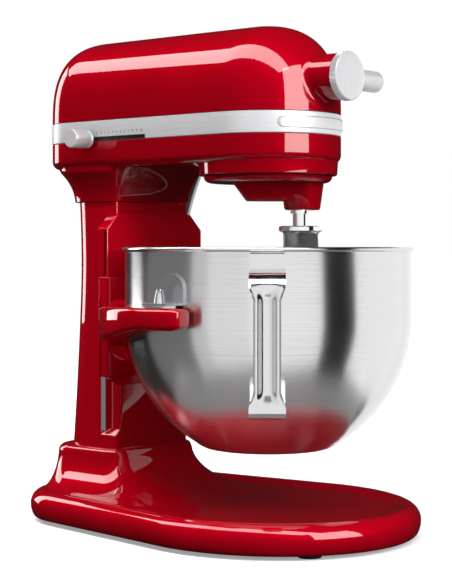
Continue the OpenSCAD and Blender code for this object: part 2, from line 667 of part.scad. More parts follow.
module planetary_carrier() {
    tray_r = planet_offset + planet_teeth * planet_module / 2 + 7;
    color(red) rotate([0, 0, planet_angle]) difference() {
        union() {
            rotate_extrude($fn = 96) polygon(concat(
                [[0, 290.6], [tray_r, 290.6], [tray_r, 293.1], [52.8, 293.1]],
                [for (a = [0:15:90]) [47 + 5.6 * cos(a), 293 - 5.5 * sin(a)]], [[0, 287.5]]));
            intersection() {
                translate([0, 40, 0]) rotate([90, 0, 0]) linear_extrude(80) polygon([[-28.2, 288],
                    [-17.8, 272.9], [14, 272.9], [14, 266],
                    [planet_offset + 18, 266], [planet_offset + 21, 288]]);
                translate([0, 0, 260]) linear_extrude(30) union() {
                    translate([-16, 0]) circle(r = 14, $fn = 48);
                    translate([-16, -14]) square([planet_offset + 17, 28]);
                }
            }
            translate([planet_offset + 1.2, 0, 265.4]) cylinder(r1 = 15, r2 = 18.2, h = 22.5, $fn = 64);
        }
        translate([planet_offset, 0, 200]) cylinder(r = 6.56, h = 100, $fn = 48);
        translate([0, 0, 276]) cylinder(r = 6.02, h = 30, $fn = 48);
        translate([0, 0, 281.5]) rotate([90, 0, 0]) cylinder(r = 2.15, h = 60, center = true, $fn = 32);
    }
}
module planetary_pin() {
    color(steel) rotate([0, 0, planet_angle]) translate([0, 0, 281.5]) rotate([90, 0, 0])
        cylinder(r = 2.13, h = 28.6, center = true, $fn = 32);
}
shaft_top = hub_z - bevel_r;
module centre_shaft() {
    color(steel) difference() {
        translate([0, 0, 276]) cylinder(r = 6, h = shaft_top - 276 + 7, $fn = 48);
        rotate([0, 0, planet_angle]) translate([0, 0, 281.5]) rotate([90, 0, 0])
            cylinder(r = 2.15, h = 60, center = true, $fn = 32);
    }
}
gear_z = 317;
module centre_gear() {
    color(steel) difference() {
        translate([0, 0, gear_z]) rotate([0, 0, mesh_angle]) linear_extrude(10)
            gear_shape(centre_teeth, gear_module, 1.4, 1.8, 0.12);
        cylinder(r = 6.01, h = 400, $fn = 48);
        translate([0, 0, gear_z + 7]) difference() {
            cylinder(r = 26, h = 10, $fn = 64);
            translate([0, 0, -1]) cylinder(r = 12, h = 20, $fn = 48);
        }
    }
}
module bevel(turn) {
    difference() {
        union() {
            linear_extrude(6, scale = 0.7) rotate([0, 0, turn])
                gear_shape(bevel_teeth, 2 * bevel_r / bevel_teeth, 1.4, 2.4, 0.45, 1);
            translate([0, 0, -5]) cylinder(r = 12, h = 5 + eps, $fn = 48);
        }
        translate([0, 0, -10]) cylinder(r = 6.01, h = 40, $fn = 48);
    }
}
module centre_bevel() {
    color(steel) translate([0, 0, shaft_top]) bevel(0);
}
module hub_bevel() {
    color(steel) translate([bevel_r, 0, hub_z]) rotate([0, -90, 0]) bevel(180 / bevel_teeth);
}
module hub_shaft() {
    color(steel) translate([0, 0, hub_z]) rotate([0, 90, 0]) difference() {
        union() {
            translate([0, 0, 14]) cylinder(r = 6, h = 20, $fn = 48);
            translate([0, 0, 30]) cylinder(r = 12, h = hub_front - 8 - 30, $fn = 64);
        }
        translate([-6.4, -6.4, 50]) cube([12.8, 12.8, 60]);
    }
}
pin_turn = -40;
module beater_shaft() {
    color(steel) translate([planet_x, planet_y, 0]) {
        difference() {
            translate([0, 0, 222]) cylinder(r = 6.5, h = 66, $fn = 48);
            translate([0, 0, 240]) rotate([90, 0, pin_turn]) cylinder(r = 1.52, h = 40, center = true, $fn = 24);
        }
        translate([0, 0, 288 - eps]) cylinder(r = 5, h = 13.6, $fn = 48);
        translate([0, 0, 240]) rotate([90, 0, pin_turn]) cylinder(r = 1.5, h = 19, center = true, $fn = 24);
    }
}
module planet_pinion() {
    color(steel) translate([planet_x, planet_y, 292]) difference() {
        rotate([0, 0, planet_angle]) linear_extrude(9.6)
            gear_shape(planet_teeth, planet_module, 1.4, 1.75, 0.12);
        translate([0, 0, -1]) cylinder(r = 5.01, h = 20, $fn = 48);
    }
}
module shaft_washer() {
    color(steel) translate([planet_x, planet_y, 262.4]) difference() {
        cylinder(r = 8.35, h = 2.6, $fn = 48);
        translate([0, 0, -1]) cylinder(r = 6.52, h = 5, $fn = 48);
    }
}
module whisk_hub() {
    color(steel) translate([planet_x, planet_y, 0]) difference() {
        rotate_extrude($fn = 64) polygon([[6.6, 252.2], [18, 252.2], [18, 247.6], [16, 247.2], [14.5, 246],
            [14.5, 226], [12, 214], [0, 214], [0, 219], [6.6, 219]]);
        rotate([0, 0, pin_turn - 36]) translate([-2, -20, 237.8]) cube([4, 40, 30]);
        translate([0, 0, 240]) for (k = [0:6]) rotate([0, 0, pin_turn - 6 * k])
            cube([4, 40, 4.4], center = true);
    }
}
// Balloon wires: each loop is half a superellipse in height and half in width.
wire_top = 216;
wire_low = 90;
wire_count = 6;
wire_r = 1.2;
function wire_point(t) = let (c = 128, z = t < 0.5 ? c - (c - wire_low) * cos(180 * t)
    : c + (wire_top - c) * pow(-cos(180 * t), 0.9),
    r = t < 0.5 ? whisk_r * pow(sin(180 * t), 0.9)
    : 9 + (whisk_r - 9) * pow(cos(180 * (t - 0.5)), 1.0))
    [r, z];
module whisk_wires() {
    steps = 13;
    color(steel) translate([planet_x, planet_y, 0]) for (k = [0:wire_count - 1])
        rotate([0, 0, 360 * k / wire_count + 30 / wire_count])
            skin([for (i = [0:steps]) let (t = 0.035 + 0.955 * i / steps, p = wire_point(t),
                q = wire_point(min(1, t + 0.01)), o = wire_point(t - 0.01),
                d = (q - o) / norm(q - o)) [for (j = [0:5]) let (a = 60 * j)
                [p[0] + wire_r * cos(a) * d[1], wire_r * sin(a), p[1] - wire_r * cos(a) * d[0]]]]);
    color(steel) translate([planet_x, planet_y, wire_low - 1.2]) cylinder(r = 6.5, h = 2.4, $fn = 32);
}
wheel_h = 9;
module worm_wheel() {
    twist = wheel_h * worm_lead / (2 * PI * worm_r) / (wheel_teeth * worm_module / 2) * 180 / PI;
    color(brass) translate([wheel_x, wheel_y, motor_z - wheel_h / 2]) difference() {
        rotate([0, 0, 9 - twist / 2]) linear_extrude(wheel_h, twist = -twist, slices = 2)
            gear_shape(wheel_teeth, worm_module, 1.1, 2.2, 0.35, 1);
        translate([0, 0, -1]) cylinder(r = 4.01, h = 20, $fn = 48);
    }
}
module wheel_shaft() {
    color(steel) translate([wheel_x, wheel_y, 0]) {
        translate([0, 0, 313]) cylinder(r = 4, h = motor_z + 8 - 313, $fn = 48);
        translate([0, 0, gear_z - 0.5]) rotate([0, 0, mesh_angle + 180 + 180 / pinion_teeth])
            linear_extrude(11) gear_shape(pinion_teeth, gear_module, 1.4, 1.8, 0.12);
    }
}
worm_len = 24;
module armature_shaft() {
    color(steel) {
        translate([-206, 0, motor_z]) rotate([0, 90, 0])
            cylinder(r = 4, h = 206 + wheel_x - worm_len / 2 + 1, $fn = 48);
        translate([wheel_x - worm_len / 2, 0, motor_z]) rotate([0, 90, 0])
            rotate([0, 0, 90 - 180 * worm_len / worm_lead])
                linear_extrude(worm_len, twist = -360 * worm_len / worm_lead, slices = 44)
                    polygon([for (i = [0:17]) let (a = 20 * i,
                        r = 4.7 + 3.2 * pow((1 + cos(a)) / 2, 1.9)) r * [cos(a), sin(a)]]);
    }
}
module armature_core() {
    color(dark) translate([stator_x, 0, motor_z]) rotate([0, 90, 0]) difference() {
        cylinder(r = 21.8, h = stator_len, $fn = 64);
        translate([0, 0, -1]) cylinder(r = 4.01, h = 80, $fn = 48);
        for (i = [0:11]) rotate([0, 0, 30 * i]) translate([19, -1, -1]) cube([5, 2, 80]);
    }
}
module commutator() {
    color(copper) translate([-198, 0, motor_z]) rotate([0, 90, 0]) difference() {
        cylinder(r = 11.5, h = 14, $fn = 64);
        translate([0, 0, -1]) cylinder(r = 4.01, h = 80, $fn = 48);
        for (i = [0:11]) rotate([0, 0, 30 * i]) translate([10.5, -0.4, -1]) cube([5, 0.8, 80]);
    }
}
module cooling_fan() {
    color(dark) translate([-92, 0, motor_z]) rotate([0, 90, 0]) difference() {
        union() {
            cylinder(r = 9, h = 12, $fn = 48);
            cylinder(r = 30, h = 2, $fn = 64);
            for (i = [0:8]) rotate([0, 0, 40 * i]) translate([8, -1, 1]) cube([21, 2, 11]);
        }
        translate([0, 0, -1]) cylinder(r = 4.01, h = 80, $fn = 48);
    }
}
module hub_cap() {
    color(steel) translate([hub_front - 6.7, 0, hub_z]) rotate([0, 90, 0]) {
        difference() {
            union() {
                cylinder(r = 19.5, h = 6, $fn = 96);
                translate([0, 0, 6 - eps]) cylinder(r1 = 19.5, r2 = 18.8, h = 0.7 + eps, $fn = 96);
            }
            for (i = [0:59]) rotate([0, 0, 6 * i]) translate([19.5, 0, 1]) cylinder(r = 0.5, h = 4.4, $fn = 4);
        }
        translate([0, 0, -22]) cylinder(r = 5.8, h = 22 + eps, $fn = 48);
        translate([0, 0, -0.25]) cylinder(r = 14.6, h = 0.3, $fn = 64);
    }
}
module attachment_knob() {
    color(steel) translate([70, 0, hub_z]) rotate([-90, 0, 0]) {
        translate([0, 0, 12.6]) cylinder(r = 3.05, h = 12, $fn = 32);
        translate([0, 0, 20.4]) cylinder(r = 6, h = 5, $fn = 48);
        translate([0, 0, 24]) cylinder(r = 8.8, h = 28, $fn = 64);
        translate([0, 0, 52 - eps]) cylinder(r1 = 8.8, r2 = 8, h = 1.4, $fn = 64);
    }
}

base_casting();
base_cover();
rubber_feet();
column();
column_bolts();
guide_slab();
guide_rails();
slab_screws();
shaft_bushes();
height_screw();
cord_grommet();
lower_housing();
upper_housing();
trim_band();
band_badge();
housing_screws();
motor_stator();
motor_brackets();
motor_brushes();
speed_board();
gearbox_plate();
ring_gear();
shaft_bearings();
hub_bush();
carriage();
arm_plates();
locating_pins();
latch_spring();
lift_link();
bowl_shell();
bowl_handle();
bowl_brackets();
bowl_stud();
lift_lever();
lift_shaft();
crank_arm();
crank_roller();
speed_knob();
speed_slider();
planetary_carrier();
planetary_pin();
centre_shaft();
centre_gear();
centre_bevel();
beater_shaft();
planet_pinion();
shaft_washer();
whisk_hub();
whisk_wires();
worm_wheel();
wheel_shaft();
armature_core();
armature_shaft();
commutator();
cooling_fan();
hub_bevel();
hub_shaft();
hub_cap();
attachment_knob();
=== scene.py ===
import json
import math

import bpy
import numpy as np
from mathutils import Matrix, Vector

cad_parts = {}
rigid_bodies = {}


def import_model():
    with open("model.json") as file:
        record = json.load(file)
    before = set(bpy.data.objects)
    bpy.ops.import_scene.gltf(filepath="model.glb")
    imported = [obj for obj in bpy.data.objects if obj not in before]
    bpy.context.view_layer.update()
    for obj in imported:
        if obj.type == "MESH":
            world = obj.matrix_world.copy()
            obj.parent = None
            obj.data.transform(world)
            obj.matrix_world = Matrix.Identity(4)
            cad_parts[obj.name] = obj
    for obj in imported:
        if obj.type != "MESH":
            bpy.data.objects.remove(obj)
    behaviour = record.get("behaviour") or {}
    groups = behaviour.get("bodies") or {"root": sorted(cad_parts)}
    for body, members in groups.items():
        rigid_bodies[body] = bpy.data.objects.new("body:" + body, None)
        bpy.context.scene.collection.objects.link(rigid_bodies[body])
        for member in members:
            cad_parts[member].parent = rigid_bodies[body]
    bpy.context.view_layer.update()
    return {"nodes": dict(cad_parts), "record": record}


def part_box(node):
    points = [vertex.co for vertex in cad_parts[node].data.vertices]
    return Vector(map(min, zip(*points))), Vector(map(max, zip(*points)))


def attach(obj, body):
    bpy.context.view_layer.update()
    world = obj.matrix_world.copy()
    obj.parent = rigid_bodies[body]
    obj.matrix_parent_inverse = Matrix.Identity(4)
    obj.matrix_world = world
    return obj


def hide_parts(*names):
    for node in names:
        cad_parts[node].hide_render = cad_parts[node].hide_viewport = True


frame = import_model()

MM = 0.001


# ---------------------------------------------------------------- camera

def make_camera():
    """A long lens at table height plus 235 mm, looking level from the mixer's right front."""
    data = bpy.data.cameras.new("camera")
    data.sensor_width = 36.0
    data.lens = 96.78
    data.shift_y = -0.077
    cam = bpy.data.objects.new("camera", data)
    bpy.context.scene.collection.objects.link(cam)
    cam.location = (0.816, -1.0015, 0.235)
    look = Vector((-0.6521, 0.7581, 0.0))
    cam.rotation_euler = look.to_track_quat("-Z", "Y").to_euler()
    bpy.context.scene.camera = cam


make_camera()


# ---------------------------------------------------------------- sizes from the frame

def low(node):
    """Lowest corner of a CAD node, in millimetres."""
    return np.array(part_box(node)[0]) / MM


def high(node):
    """Highest corner of a CAD node, in millimetres."""
    return np.array(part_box(node)[1]) / MM


HEAD_R = high("lower_housing")[1]
HEAD_BACK = -low("upper_housing")[0]
TOP_Z = high("upper_housing")[2]
BAND_LOW = low("trim_band")[2]
DOME_LOW = low("upper_housing")[2]
RIDGE_DROP = 1.4
DOME_H = TOP_Z - DOME_LOW - RIDGE_DROP
POWER_FRONT = 2.45
POWER_BACK = 2.8
HUB_Z = (low("hub_cap")[2] + high("hub_cap")[2]) / 2
HUB_FACE = high("hub_cap")[0]
NECK_LOW = low("lower_housing")[2]
NECK_FRONT = -128.0
NECK_BACK = -198.5
FILLET_R = 42.0
UNDER_Z = 303.0
DRUM_R = 57.8
DRUM_LOW = 293.4
BASE_FRONT = high("base_casting")[0]
BASE_W = high("base_casting")[1]
LEDGE_Z = high("base_casting")[2]
LEDGE_BACK = -210.5
COLUMN_FRONT = high("column")[0]
COLUMN_W = high("column")[1]
RIM_Z = high("bowl_shell")[2]
BOWL_R = 117.5
BOWL_T = 1.2
SLAB_FRONT = high("guide_slab")[0]
PLANET_ANGLE = math.radians(40.7)
PLANET_OFFSET = 27.0
PLANET = np.array([math.cos(PLANET_ANGLE), math.sin(PLANET_ANGLE), 0.0]) * PLANET_OFFSET


# ---------------------------------------------------------------- meshes from arrays

def put_mesh(name, points, faces, body, slot_name, material, replaces=(), sharp=32.0):
    """Makes one piece from points in millimetres and faces, smooth except at edges over the sharp angle."""
    mesh = bpy.data.meshes.new(name)
    mesh.from_pydata((np.asarray(points, float) * MM).tolist(), [], [list(map(int, f)) for f in faces])
    mesh.validate()
    obj = bpy.data.objects.new(name, mesh)
    bpy.context.scene.collection.objects.link(obj)
    tidy_mesh(mesh)
    mesh.shade_smooth()
    mesh.set_sharp_from_angle(angle=math.radians(sharp))
    mesh.materials.append(material)
    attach(obj, body)
    if replaces:
        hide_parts(*replaces)
    return obj


def tidy_mesh(mesh):
    """Merges doubled points, such as those at poles and seams, and turns faces outwards."""
    import bmesh
    bm = bmesh.new()
    bm.from_mesh(mesh)
    bmesh.ops.remove_doubles(bm, verts=bm.verts, dist=2e-6)
    bmesh.ops.dissolve_degenerate(bm, dist=1e-7, edges=bm.edges)
    bmesh.ops.recalc_face_normals(bm, faces=bm.faces)
    bm.to_mesh(mesh)
    bm.free()


def grid_faces(m, n, closed=True, offset=0):
    """Quads of an m by n grid of points, joined round the second direction when closed."""
    i, j = np.meshgrid(np.arange(m - 1), np.arange(n if closed else n - 1), indexing="ij")
    k = (j + 1) % n
    quads = np.stack([i * n + j, i * n + k, (i + 1) * n + k, (i + 1) * n + j], -1).reshape(-1, 4)
    return (quads + offset).tolist()


def loft(rings, cap_first=True, cap_last=True):
    """A closed skin through rings of points (m, n, 3), with flat caps on its ends."""
    rings = np.asarray(rings, float)
    m, n, _ = rings.shape
    faces = grid_faces(m, n)
    if cap_first:
        faces.append(list(range(n))[::-1])
    if cap_last:
        faces.append([(m - 1) * n + i for i in range(n)])
    return rings.reshape(-1, 3), faces


def join_parts(*parts):
    """Several (points, faces) parts as one."""
    points, faces, start = [], [], 0
    for p, f in parts:
        points.append(np.asarray(p, float))
        faces += [[v + start for v in face] for face in f]
        start += len(p)
    return np.vstack(points), faces


def revolve(profile, steps=128, angle=(0.0, 2 * np.pi)):
    """A profile of (radius, height) turned about Z: (r cos a, r sin a, z)."""
    profile = np.asarray(profile, float)
    a = np.linspace(angle[0], angle[1], steps, endpoint=False)
    r = profile[:, 0][:, None]
    pts = np.stack([r * np.cos(a), r * np.sin(a), np.repeat(profile[:, 1][:, None], steps, 1)], -1)
    return loft(pts, cap_first=profile[0, 0] > 1e-6, cap_last=profile[-1, 0] > 1e-6)


def turned(part, matrix, shift=(0, 0, 0)):
    """A part with its points multiplied by a 3 by 3 matrix and moved."""
    return np.asarray(part[0]) @ np.asarray(matrix, float).T + np.asarray(shift, float), part[1]


TO_X = np.array([[0, 0, 1], [0, 1, 0], [-1, 0, 0]])
TO_Y = np.array([[1, 0, 0], [0, 0, 1], [0, -1, 0]])
TO_MINUS_Y = np.array([[1, 0, 0], [0, 0, -1], [0, 1, 0]])


def about_z(angle):
    """The matrix that turns by angle about Z."""
    c, s = math.cos(angle), math.sin(angle)
    return np.array([[c, -s, 0], [s, c, 0], [0, 0, 1]])


def arc(cx, cy, r, a0, a1, n):
    """n+1 points on a circle from angle a0 to a1 in degrees."""
    a = np.radians(np.linspace(a0, a1, n + 1))
    return np.stack([cx + r * np.cos(a), cy + r * np.sin(a)], -1)


def at_z(outline, z):
    """A flat outline lifted to height z."""
    return np.column_stack([outline, np.full(len(outline), z)])


def rounded(x0, x1, w, rb, rf, n=10):
    """A rectangle from x0 to x1 and half width w, corner radius rb behind and rf in front."""
    return np.vstack([arc(x1 - rf, -w + rf, rf, -90, 0, n), arc(x1 - rf, w - rf, rf, 0, 90, n),
                      arc(x0 + rb, w - rb, rb, 90, 180, n), arc(x0 + rb, -w + rb, rb, 180, 270, n)])


def spread(outline, step=6.0):
    """The outline with extra points along its straight stretches, so that no edge is longer than step."""
    out = []
    for p, q in zip(outline, np.roll(outline, -1, 0)):
        k = max(1, int(np.linalg.norm(q - p) // step))
        out.append(p + (q - p) * (np.arange(k) / k)[:, None])
    return np.vstack(out)


def head_outline(inset, n=16, factor=0.75):
    """The head from above: a half circle about the bowl axis in front, and rounded corners behind."""
    w = HEAD_R - inset
    x0 = -HEAD_BACK + inset
    rb = factor * w
    return np.vstack([arc(0, 0, w, -90, 90, 3 * n), arc(x0 + rb, w - rb, rb, 90, 180, n),
                      arc(x0 + rb, -w + rb, rb, 180, 270, n)])


def base_outline(inset, n=16):
    """The base from above: half an ellipse in front, sides that taper back, and rounded rear corners."""
    a = np.radians(np.linspace(-98, 98, 6 * n + 1))
    front = np.stack([(BASE_FRONT - inset) * np.cos(a), (BASE_W - inset) * np.sin(a)], -1)
    cx, cy, r = -153.5, 38.5 + BASE_W - 119.5, 62.0 - inset
    return np.vstack([front, arc(cx, cy, r, 97.5, 180, n), arc(cx, -cy, r, 180, 262.5, n)])


# ---------------------------------------------------------------- materials

def new_material(name):
    """A node material and its Principled shader."""
    mat = bpy.data.materials.new(name)
    mat.use_nodes = True
    return mat, mat.node_tree, mat.node_tree.nodes["Principled BSDF"]


def set_inputs(shader, **values):
    """Sets shader inputs by name, with spaces as underscores."""
    for key, value in values.items():
        shader.inputs[key.replace("_", " ")].default_value = value


def object_noise(tree, scale, detail=4.0, stretch=(1, 1, 1)):
    """Noise on object coordinates, stretched along the axes."""
    coord = tree.nodes.new("ShaderNodeTexCoord")
    mapping = tree.nodes.new("ShaderNodeMapping")
    mapping.inputs["Scale"].default_value = stretch
    noise = tree.nodes.new("ShaderNodeTexNoise")
    noise.inputs["Scale"].default_value = scale
    noise.inputs["Detail"].default_value = detail
    tree.links.new(coord.outputs["Object"], mapping.inputs["Vector"])
    tree.links.new(mapping.outputs["Vector"], noise.inputs["Vector"])
    return noise


def remap(tree, source, low_value, high_value, start=0.3, end=0.7):
    """A source value mapped from start..end to low_value..high_value."""
    node = tree.nodes.new("ShaderNodeMapRange")
    node.inputs["From Min"].default_value = start
    node.inputs["From Max"].default_value = end
    node.inputs["To Min"].default_value = low_value
    node.inputs["To Max"].default_value = high_value
    tree.links.new(source, node.inputs["Value"])
    return node.outputs["Result"]


def two_colours(tree, source, first, second, start=0.35, end=0.65):
    """A colour ramp between two colours, driven by a source value."""
    ramp = tree.nodes.new("ShaderNodeValToRGB")
    ramp.color_ramp.elements[0].position = start
    ramp.color_ramp.elements[0].color = (*first, 1)
    ramp.color_ramp.elements[1].position = end
    ramp.color_ramp.elements[1].color = (*second, 1)
    tree.links.new(source, ramp.inputs["Fac"])
    return ramp.outputs["Color"]


def add_bump(tree, shader, height, strength, distance):
    """Bump from a height value, into the shader's normal."""
    bump = tree.nodes.new("ShaderNodeBump")
    bump.inputs["Strength"].default_value = strength
    bump.inputs["Distance"].default_value = distance
    tree.links.new(height, bump.inputs["Height"])
    tree.links.new(bump.outputs["Normal"], shader.inputs["Normal"])


def gloss_enamel():
    """Deep red enamel: a red-tinted flake layer under a thick clear coat, with faint orange peel."""
    mat, tree, shader = new_material("red_enamel_gloss")
    drift = object_noise(tree, 14.0, 3.0)
    tree.links.new(two_colours(tree, drift.outputs["Fac"], (0.33, 0.0, 0.006), (0.375, 0.0, 0.008)),
                   shader.inputs["Base Color"])
    peel = object_noise(tree, 420.0, 2.0)
    add_bump(tree, shader, peel.outputs["Fac"], 0.012, 0.0002)
    set_inputs(shader, Metallic=0.25, Roughness=0.40, Coat_Weight=1.0, Coat_Roughness=0.02, Coat_IOR=1.6,
               Specular_IOR_Level=0.0, Specular_Tint=(0.85, 0.01, 0.02, 1))
    return mat


def brushed_metal(name, light, dark_tone, stretch, roughness, anisotropic=0.0, strength=0.12):
    """Metal with fine brush lines along one direction, in tone, roughness and bump."""
    mat, tree, shader = new_material(name)
    lines = object_noise(tree, 1.0, 3.0, stretch)
    tree.links.new(two_colours(tree, lines.outputs["Fac"], dark_tone, light), shader.inputs["Base Color"])
    tree.links.new(remap(tree, lines.outputs["Fac"], roughness * 1.2, roughness * 0.85),
                   shader.inputs["Roughness"])
    add_bump(tree, shader, lines.outputs["Fac"], strength, 0.00006)
    set_inputs(shader, Metallic=1.0, Anisotropic=anisotropic, Anisotropic_Rotation=0.25)
    return mat


def satin_silver(name, light, dark_tone, stretch):
    """Satin silver finish: half metal and half pale lacquer, with faint brush lines."""
    mat, tree, shader = new_material(name)
    lines = object_noise(tree, 1.0, 3.0, stretch)
    tree.links.new(two_colours(tree, lines.outputs["Fac"], dark_tone, light), shader.inputs["Base Color"])
    add_bump(tree, shader, lines.outputs["Fac"], 0.05, 0.00005)
    set_inputs(shader, Metallic=0.4, Roughness=0.36, Specular_IOR_Level=0.4)
    return mat


def polished_metal(name, tone=0.80, roughness=0.09):
    """Polished metal with a slight haze that drifts over it."""
    mat, tree, shader = new_material(name)
    haze = object_noise(tree, 90.0, 3.0)
    tree.links.new(remap(tree, haze.outputs["Fac"], roughness * 0.7, roughness * 1.5),
                   shader.inputs["Roughness"])
    tree.links.new(two_colours(tree, haze.outputs["Fac"], (tone - 0.03,) * 3, (tone, tone, tone + 0.01)),
                   shader.inputs["Base Color"])
    set_inputs(shader, Metallic=1.0)
    return mat


def speckled(name, first, second, roughness, scale=600.0, metallic=0.0, strength=0.15):
    """A dull surface of two tones with a fine grain, for rubber, plastic, carbon and iron."""
    mat, tree, shader = new_material(name)
    grain = object_noise(tree, scale, 4.0)
    tree.links.new(two_colours(tree, grain.outputs["Fac"], first, second), shader.inputs["Base Color"])
    tree.links.new(remap(tree, grain.outputs["Fac"], roughness * 0.85, roughness * 1.15),
                   shader.inputs["Roughness"])
    add_bump(tree, shader, grain.outputs["Fac"], strength, 0.0001)
    set_inputs(shader, Metallic=metallic)
    return mat


ENAMEL = gloss_enamel()
BOWL_STEEL = brushed_metal("bowl_brushed_steel", (0.68, 0.68, 0.68), (0.63, 0.63, 0.63),
                           (9, 9, 4200), 0.22, 0.78, 0.02)
POLISHED = polished_metal("polished_steel", 0.82, 0.10)
PRESSED = polished_metal("pressed_steel", 0.66, 0.15)
BAND_METAL = satin_silver("band_satin_silver", (0.50, 0.50, 0.51), (0.44, 0.44, 0.45), (40, 40, 3200))
CAP_METAL = satin_silver("cap_satin_silver", (0.46, 0.46, 0.47), (0.41, 0.41, 0.42), (900, 900, 900))
MACHINED = brushed_metal("machined_steel", (0.58, 0.59, 0.61), (0.46, 0.47, 0.49), (200, 200, 1800), 0.32)
BRONZE = speckled("sintered_bronze", (0.52, 0.36, 0.16), (0.66, 0.48, 0.25), 0.42, 700.0, 1.0)
COPPER = speckled("turned_copper", (0.62, 0.28, 0.14), (0.78, 0.40, 0.24), 0.32, 500.0, 1.0)
IRON = speckled("laminated_iron", (0.10, 0.10, 0.105), (0.19, 0.19, 0.20), 0.55, 900.0, 0.8)
BLACK_PLASTIC = speckled("black_moulding", (0.010, 0.010, 0.010), (0.022, 0.022, 0.022), 0.5)
CARBON = speckled("pressed_carbon", (0.02, 0.02, 0.02), (0.06, 0.06, 0.06), 0.7)
BOARD = speckled("green_board", (0.01, 0.12, 0.04), (0.02, 0.20, 0.08), 0.35, 300.0)
RUBBER = speckled("black_rubber", (0.012, 0.012, 0.012), (0.03, 0.03, 0.03), 0.75, 900.0)
PRINT = speckled("grey_print", (0.04, 0.04, 0.042), (0.06, 0.06, 0.062), 0.6, 800.0)

METALS = (BOWL_STEEL, POLISHED, PRESSED, BAND_METAL, CAP_METAL, MACHINED)

SLOT_MATERIALS = {
    "red_enamel": ENAMEL, "bowl_steel": BOWL_STEEL, "polished_steel": POLISHED,
    "trim_aluminium": CAP_METAL, "machine_steel": MACHINED, "bronze": BRONZE, "copper": COPPER,
    "laminated_iron": IRON, "black_plastic": BLACK_PLASTIC, "carbon": CARBON, "green_board": BOARD,
    "black_rubber": RUBBER,
}
for part in frame["record"]["subparts"]:
    node = frame["nodes"][part["node"]]
    for material_slot in node.material_slots:
        material_slot.material = SLOT_MATERIALS[part["material_slot"]]

for material_slot in frame["nodes"]["bowl_brackets"].material_slots:
    material_slot.material = MACHINED


# ---------------------------------------------------------------- base and column

def base_piece():
    """Base plate: the outline carried up a rounded edge, over a rim and down into a shallow dish.
    Foot: a rounded rectangle whose sides flare outwards and down in an elliptic fillet."""
    t = np.linspace(0, np.pi / 2, 9)
    under = [(5.5 * (1 - math.cos(a)), 15 - 11.8 * math.sin(a)) for a in t[::-1]]
    edge = [(12 * (1 - math.cos(a)), 15 + 12 * math.sin(a)) for a in t[1:]]
    dish = [(12 + 17 * u, 27 - 3.6 * (0.5 - 0.5 * math.cos(math.pi * u))) for u in np.linspace(0.1, 1, 10)]
    plate = loft([at_z(base_outline(d), z) for d, z in under + edge + dish])
    top = LEDGE_Z - 2.5
    foot_z = 23.5
    zs = foot_z + (LEDGE_Z - 6.5 - foot_z) * (1 - (1 - np.linspace(0, 1, 22)) ** 1.8)
    rings = []
    for z in zs:
        f = 1 - math.sqrt(max(0.0, 1 - (max(0.0, top - z) / (top - foot_z)) ** 2))
        rings.append(at_z(rounded(LEDGE_BACK - 2 * f, COLUMN_FRONT + 7 + 75 * f, COLUMN_W + 7 + 40 * f,
                                  27 + 28 * f, 14 + 50 * f, 14), z))
    for a in np.linspace(0, np.pi / 2, 8)[1:]:
        c = 6 * (1 - math.cos(a))
        rings.append(at_z(rounded(LEDGE_BACK + 1.3 * c, COLUMN_FRONT + 7 - c, COLUMN_W + 7 - c,
                                  27 - 0.7 * c, 14 - c, 14), LEDGE_Z - 6 + 6 * math.sin(a)))
    return join_parts(plate, loft(rings))


def column_back(z):
    """The column's rear line: narrowest at 217 mm, sweeping back below it."""
    return -192 - 10 * max(0.0, (217 - z) / 155) ** 1.4 - 2 * max(0.0, (z - 217) / 57) ** 2


def column_piece():
    """A rounded rectangle carried up, with a shallow channel down both sides behind the slab."""
    zs = np.unique(np.concatenate([np.linspace(LEDGE_Z - 0.5, NECK_LOW - 0.4, 40),
                                   [73.4, 76, 78.5, 247.5, 249, 250.5]]))
    rings = []
    for z in zs:
        depth = 4.0 * np.clip((z - 73.4) / 5.1, 0, 1) * np.clip((250.5 - z) / 1.5, 0, 1)
        r = 32.0
        x1, w, xb = COLUMN_FRONT, COLUMN_W, column_back(z)
        edge_r = arc(x1 - 2, w - depth - 2, 2, 0, 90, 5)
        channel = np.array([[-148.6, w - depth], [-149.6, w]])
        back = arc(xb + r, w - r, r, 90, 180, 14)
        half = np.vstack([[[x1, 0.0]], [[x1, w - 8]], edge_r, channel, back])
        rings.append(at_z(np.vstack([half, half[1:][::-1] * [1, -1]]), z))
    return loft(rings)


def slab_plate(outline, x0, x1, edge):
    """A plate in the YZ plane from x0 to x1 with its front edge rounded by edge."""
    outline = np.asarray(outline, float)
    centre = outline.mean(0)
    rings = []
    for a in np.linspace(0, np.pi / 2, 5):
        inset = edge * (1 - math.cos(a))
        span = np.abs(outline - centre).max(0)
        ring = centre + (outline - centre) * (1 - inset / span)
        rings.append(np.column_stack([np.full(len(ring), x1 - edge + edge * math.sin(a)), ring]))
    first = np.column_stack([np.full(len(outline), x0), outline])
    return loft([first] + rings)


SLAB = [(-60, 125), (-45, 117), (45, 117), (60, 125), (60, 250), (45, 264), (-45, 264), (-60, 250)]
put_mesh("base_enamelled_casting", *base_piece(), "stand", "red_enamel", ENAMEL, ["base_casting"])
put_mesh("column_enamelled_casting", *column_piece(), "stand", "red_enamel", ENAMEL, ["column"])
WING = [(45.5, 211), (60, 211), (60, 250), (45.5, 263.5)]
wings = [slab_plate([(y * s, z) for y, z in WING[::s]], COLUMN_FRONT - 8, SLAB_FRONT - 0.4, 0.6)
         for s in (1, -1)]
put_mesh("slab_enamelled", *join_parts(slab_plate(SLAB, COLUMN_FRONT, SLAB_FRONT, 1.2), *wings), "stand",
         "red_enamel", ENAMEL, ["guide_slab"])


# ---------------------------------------------------------------- head

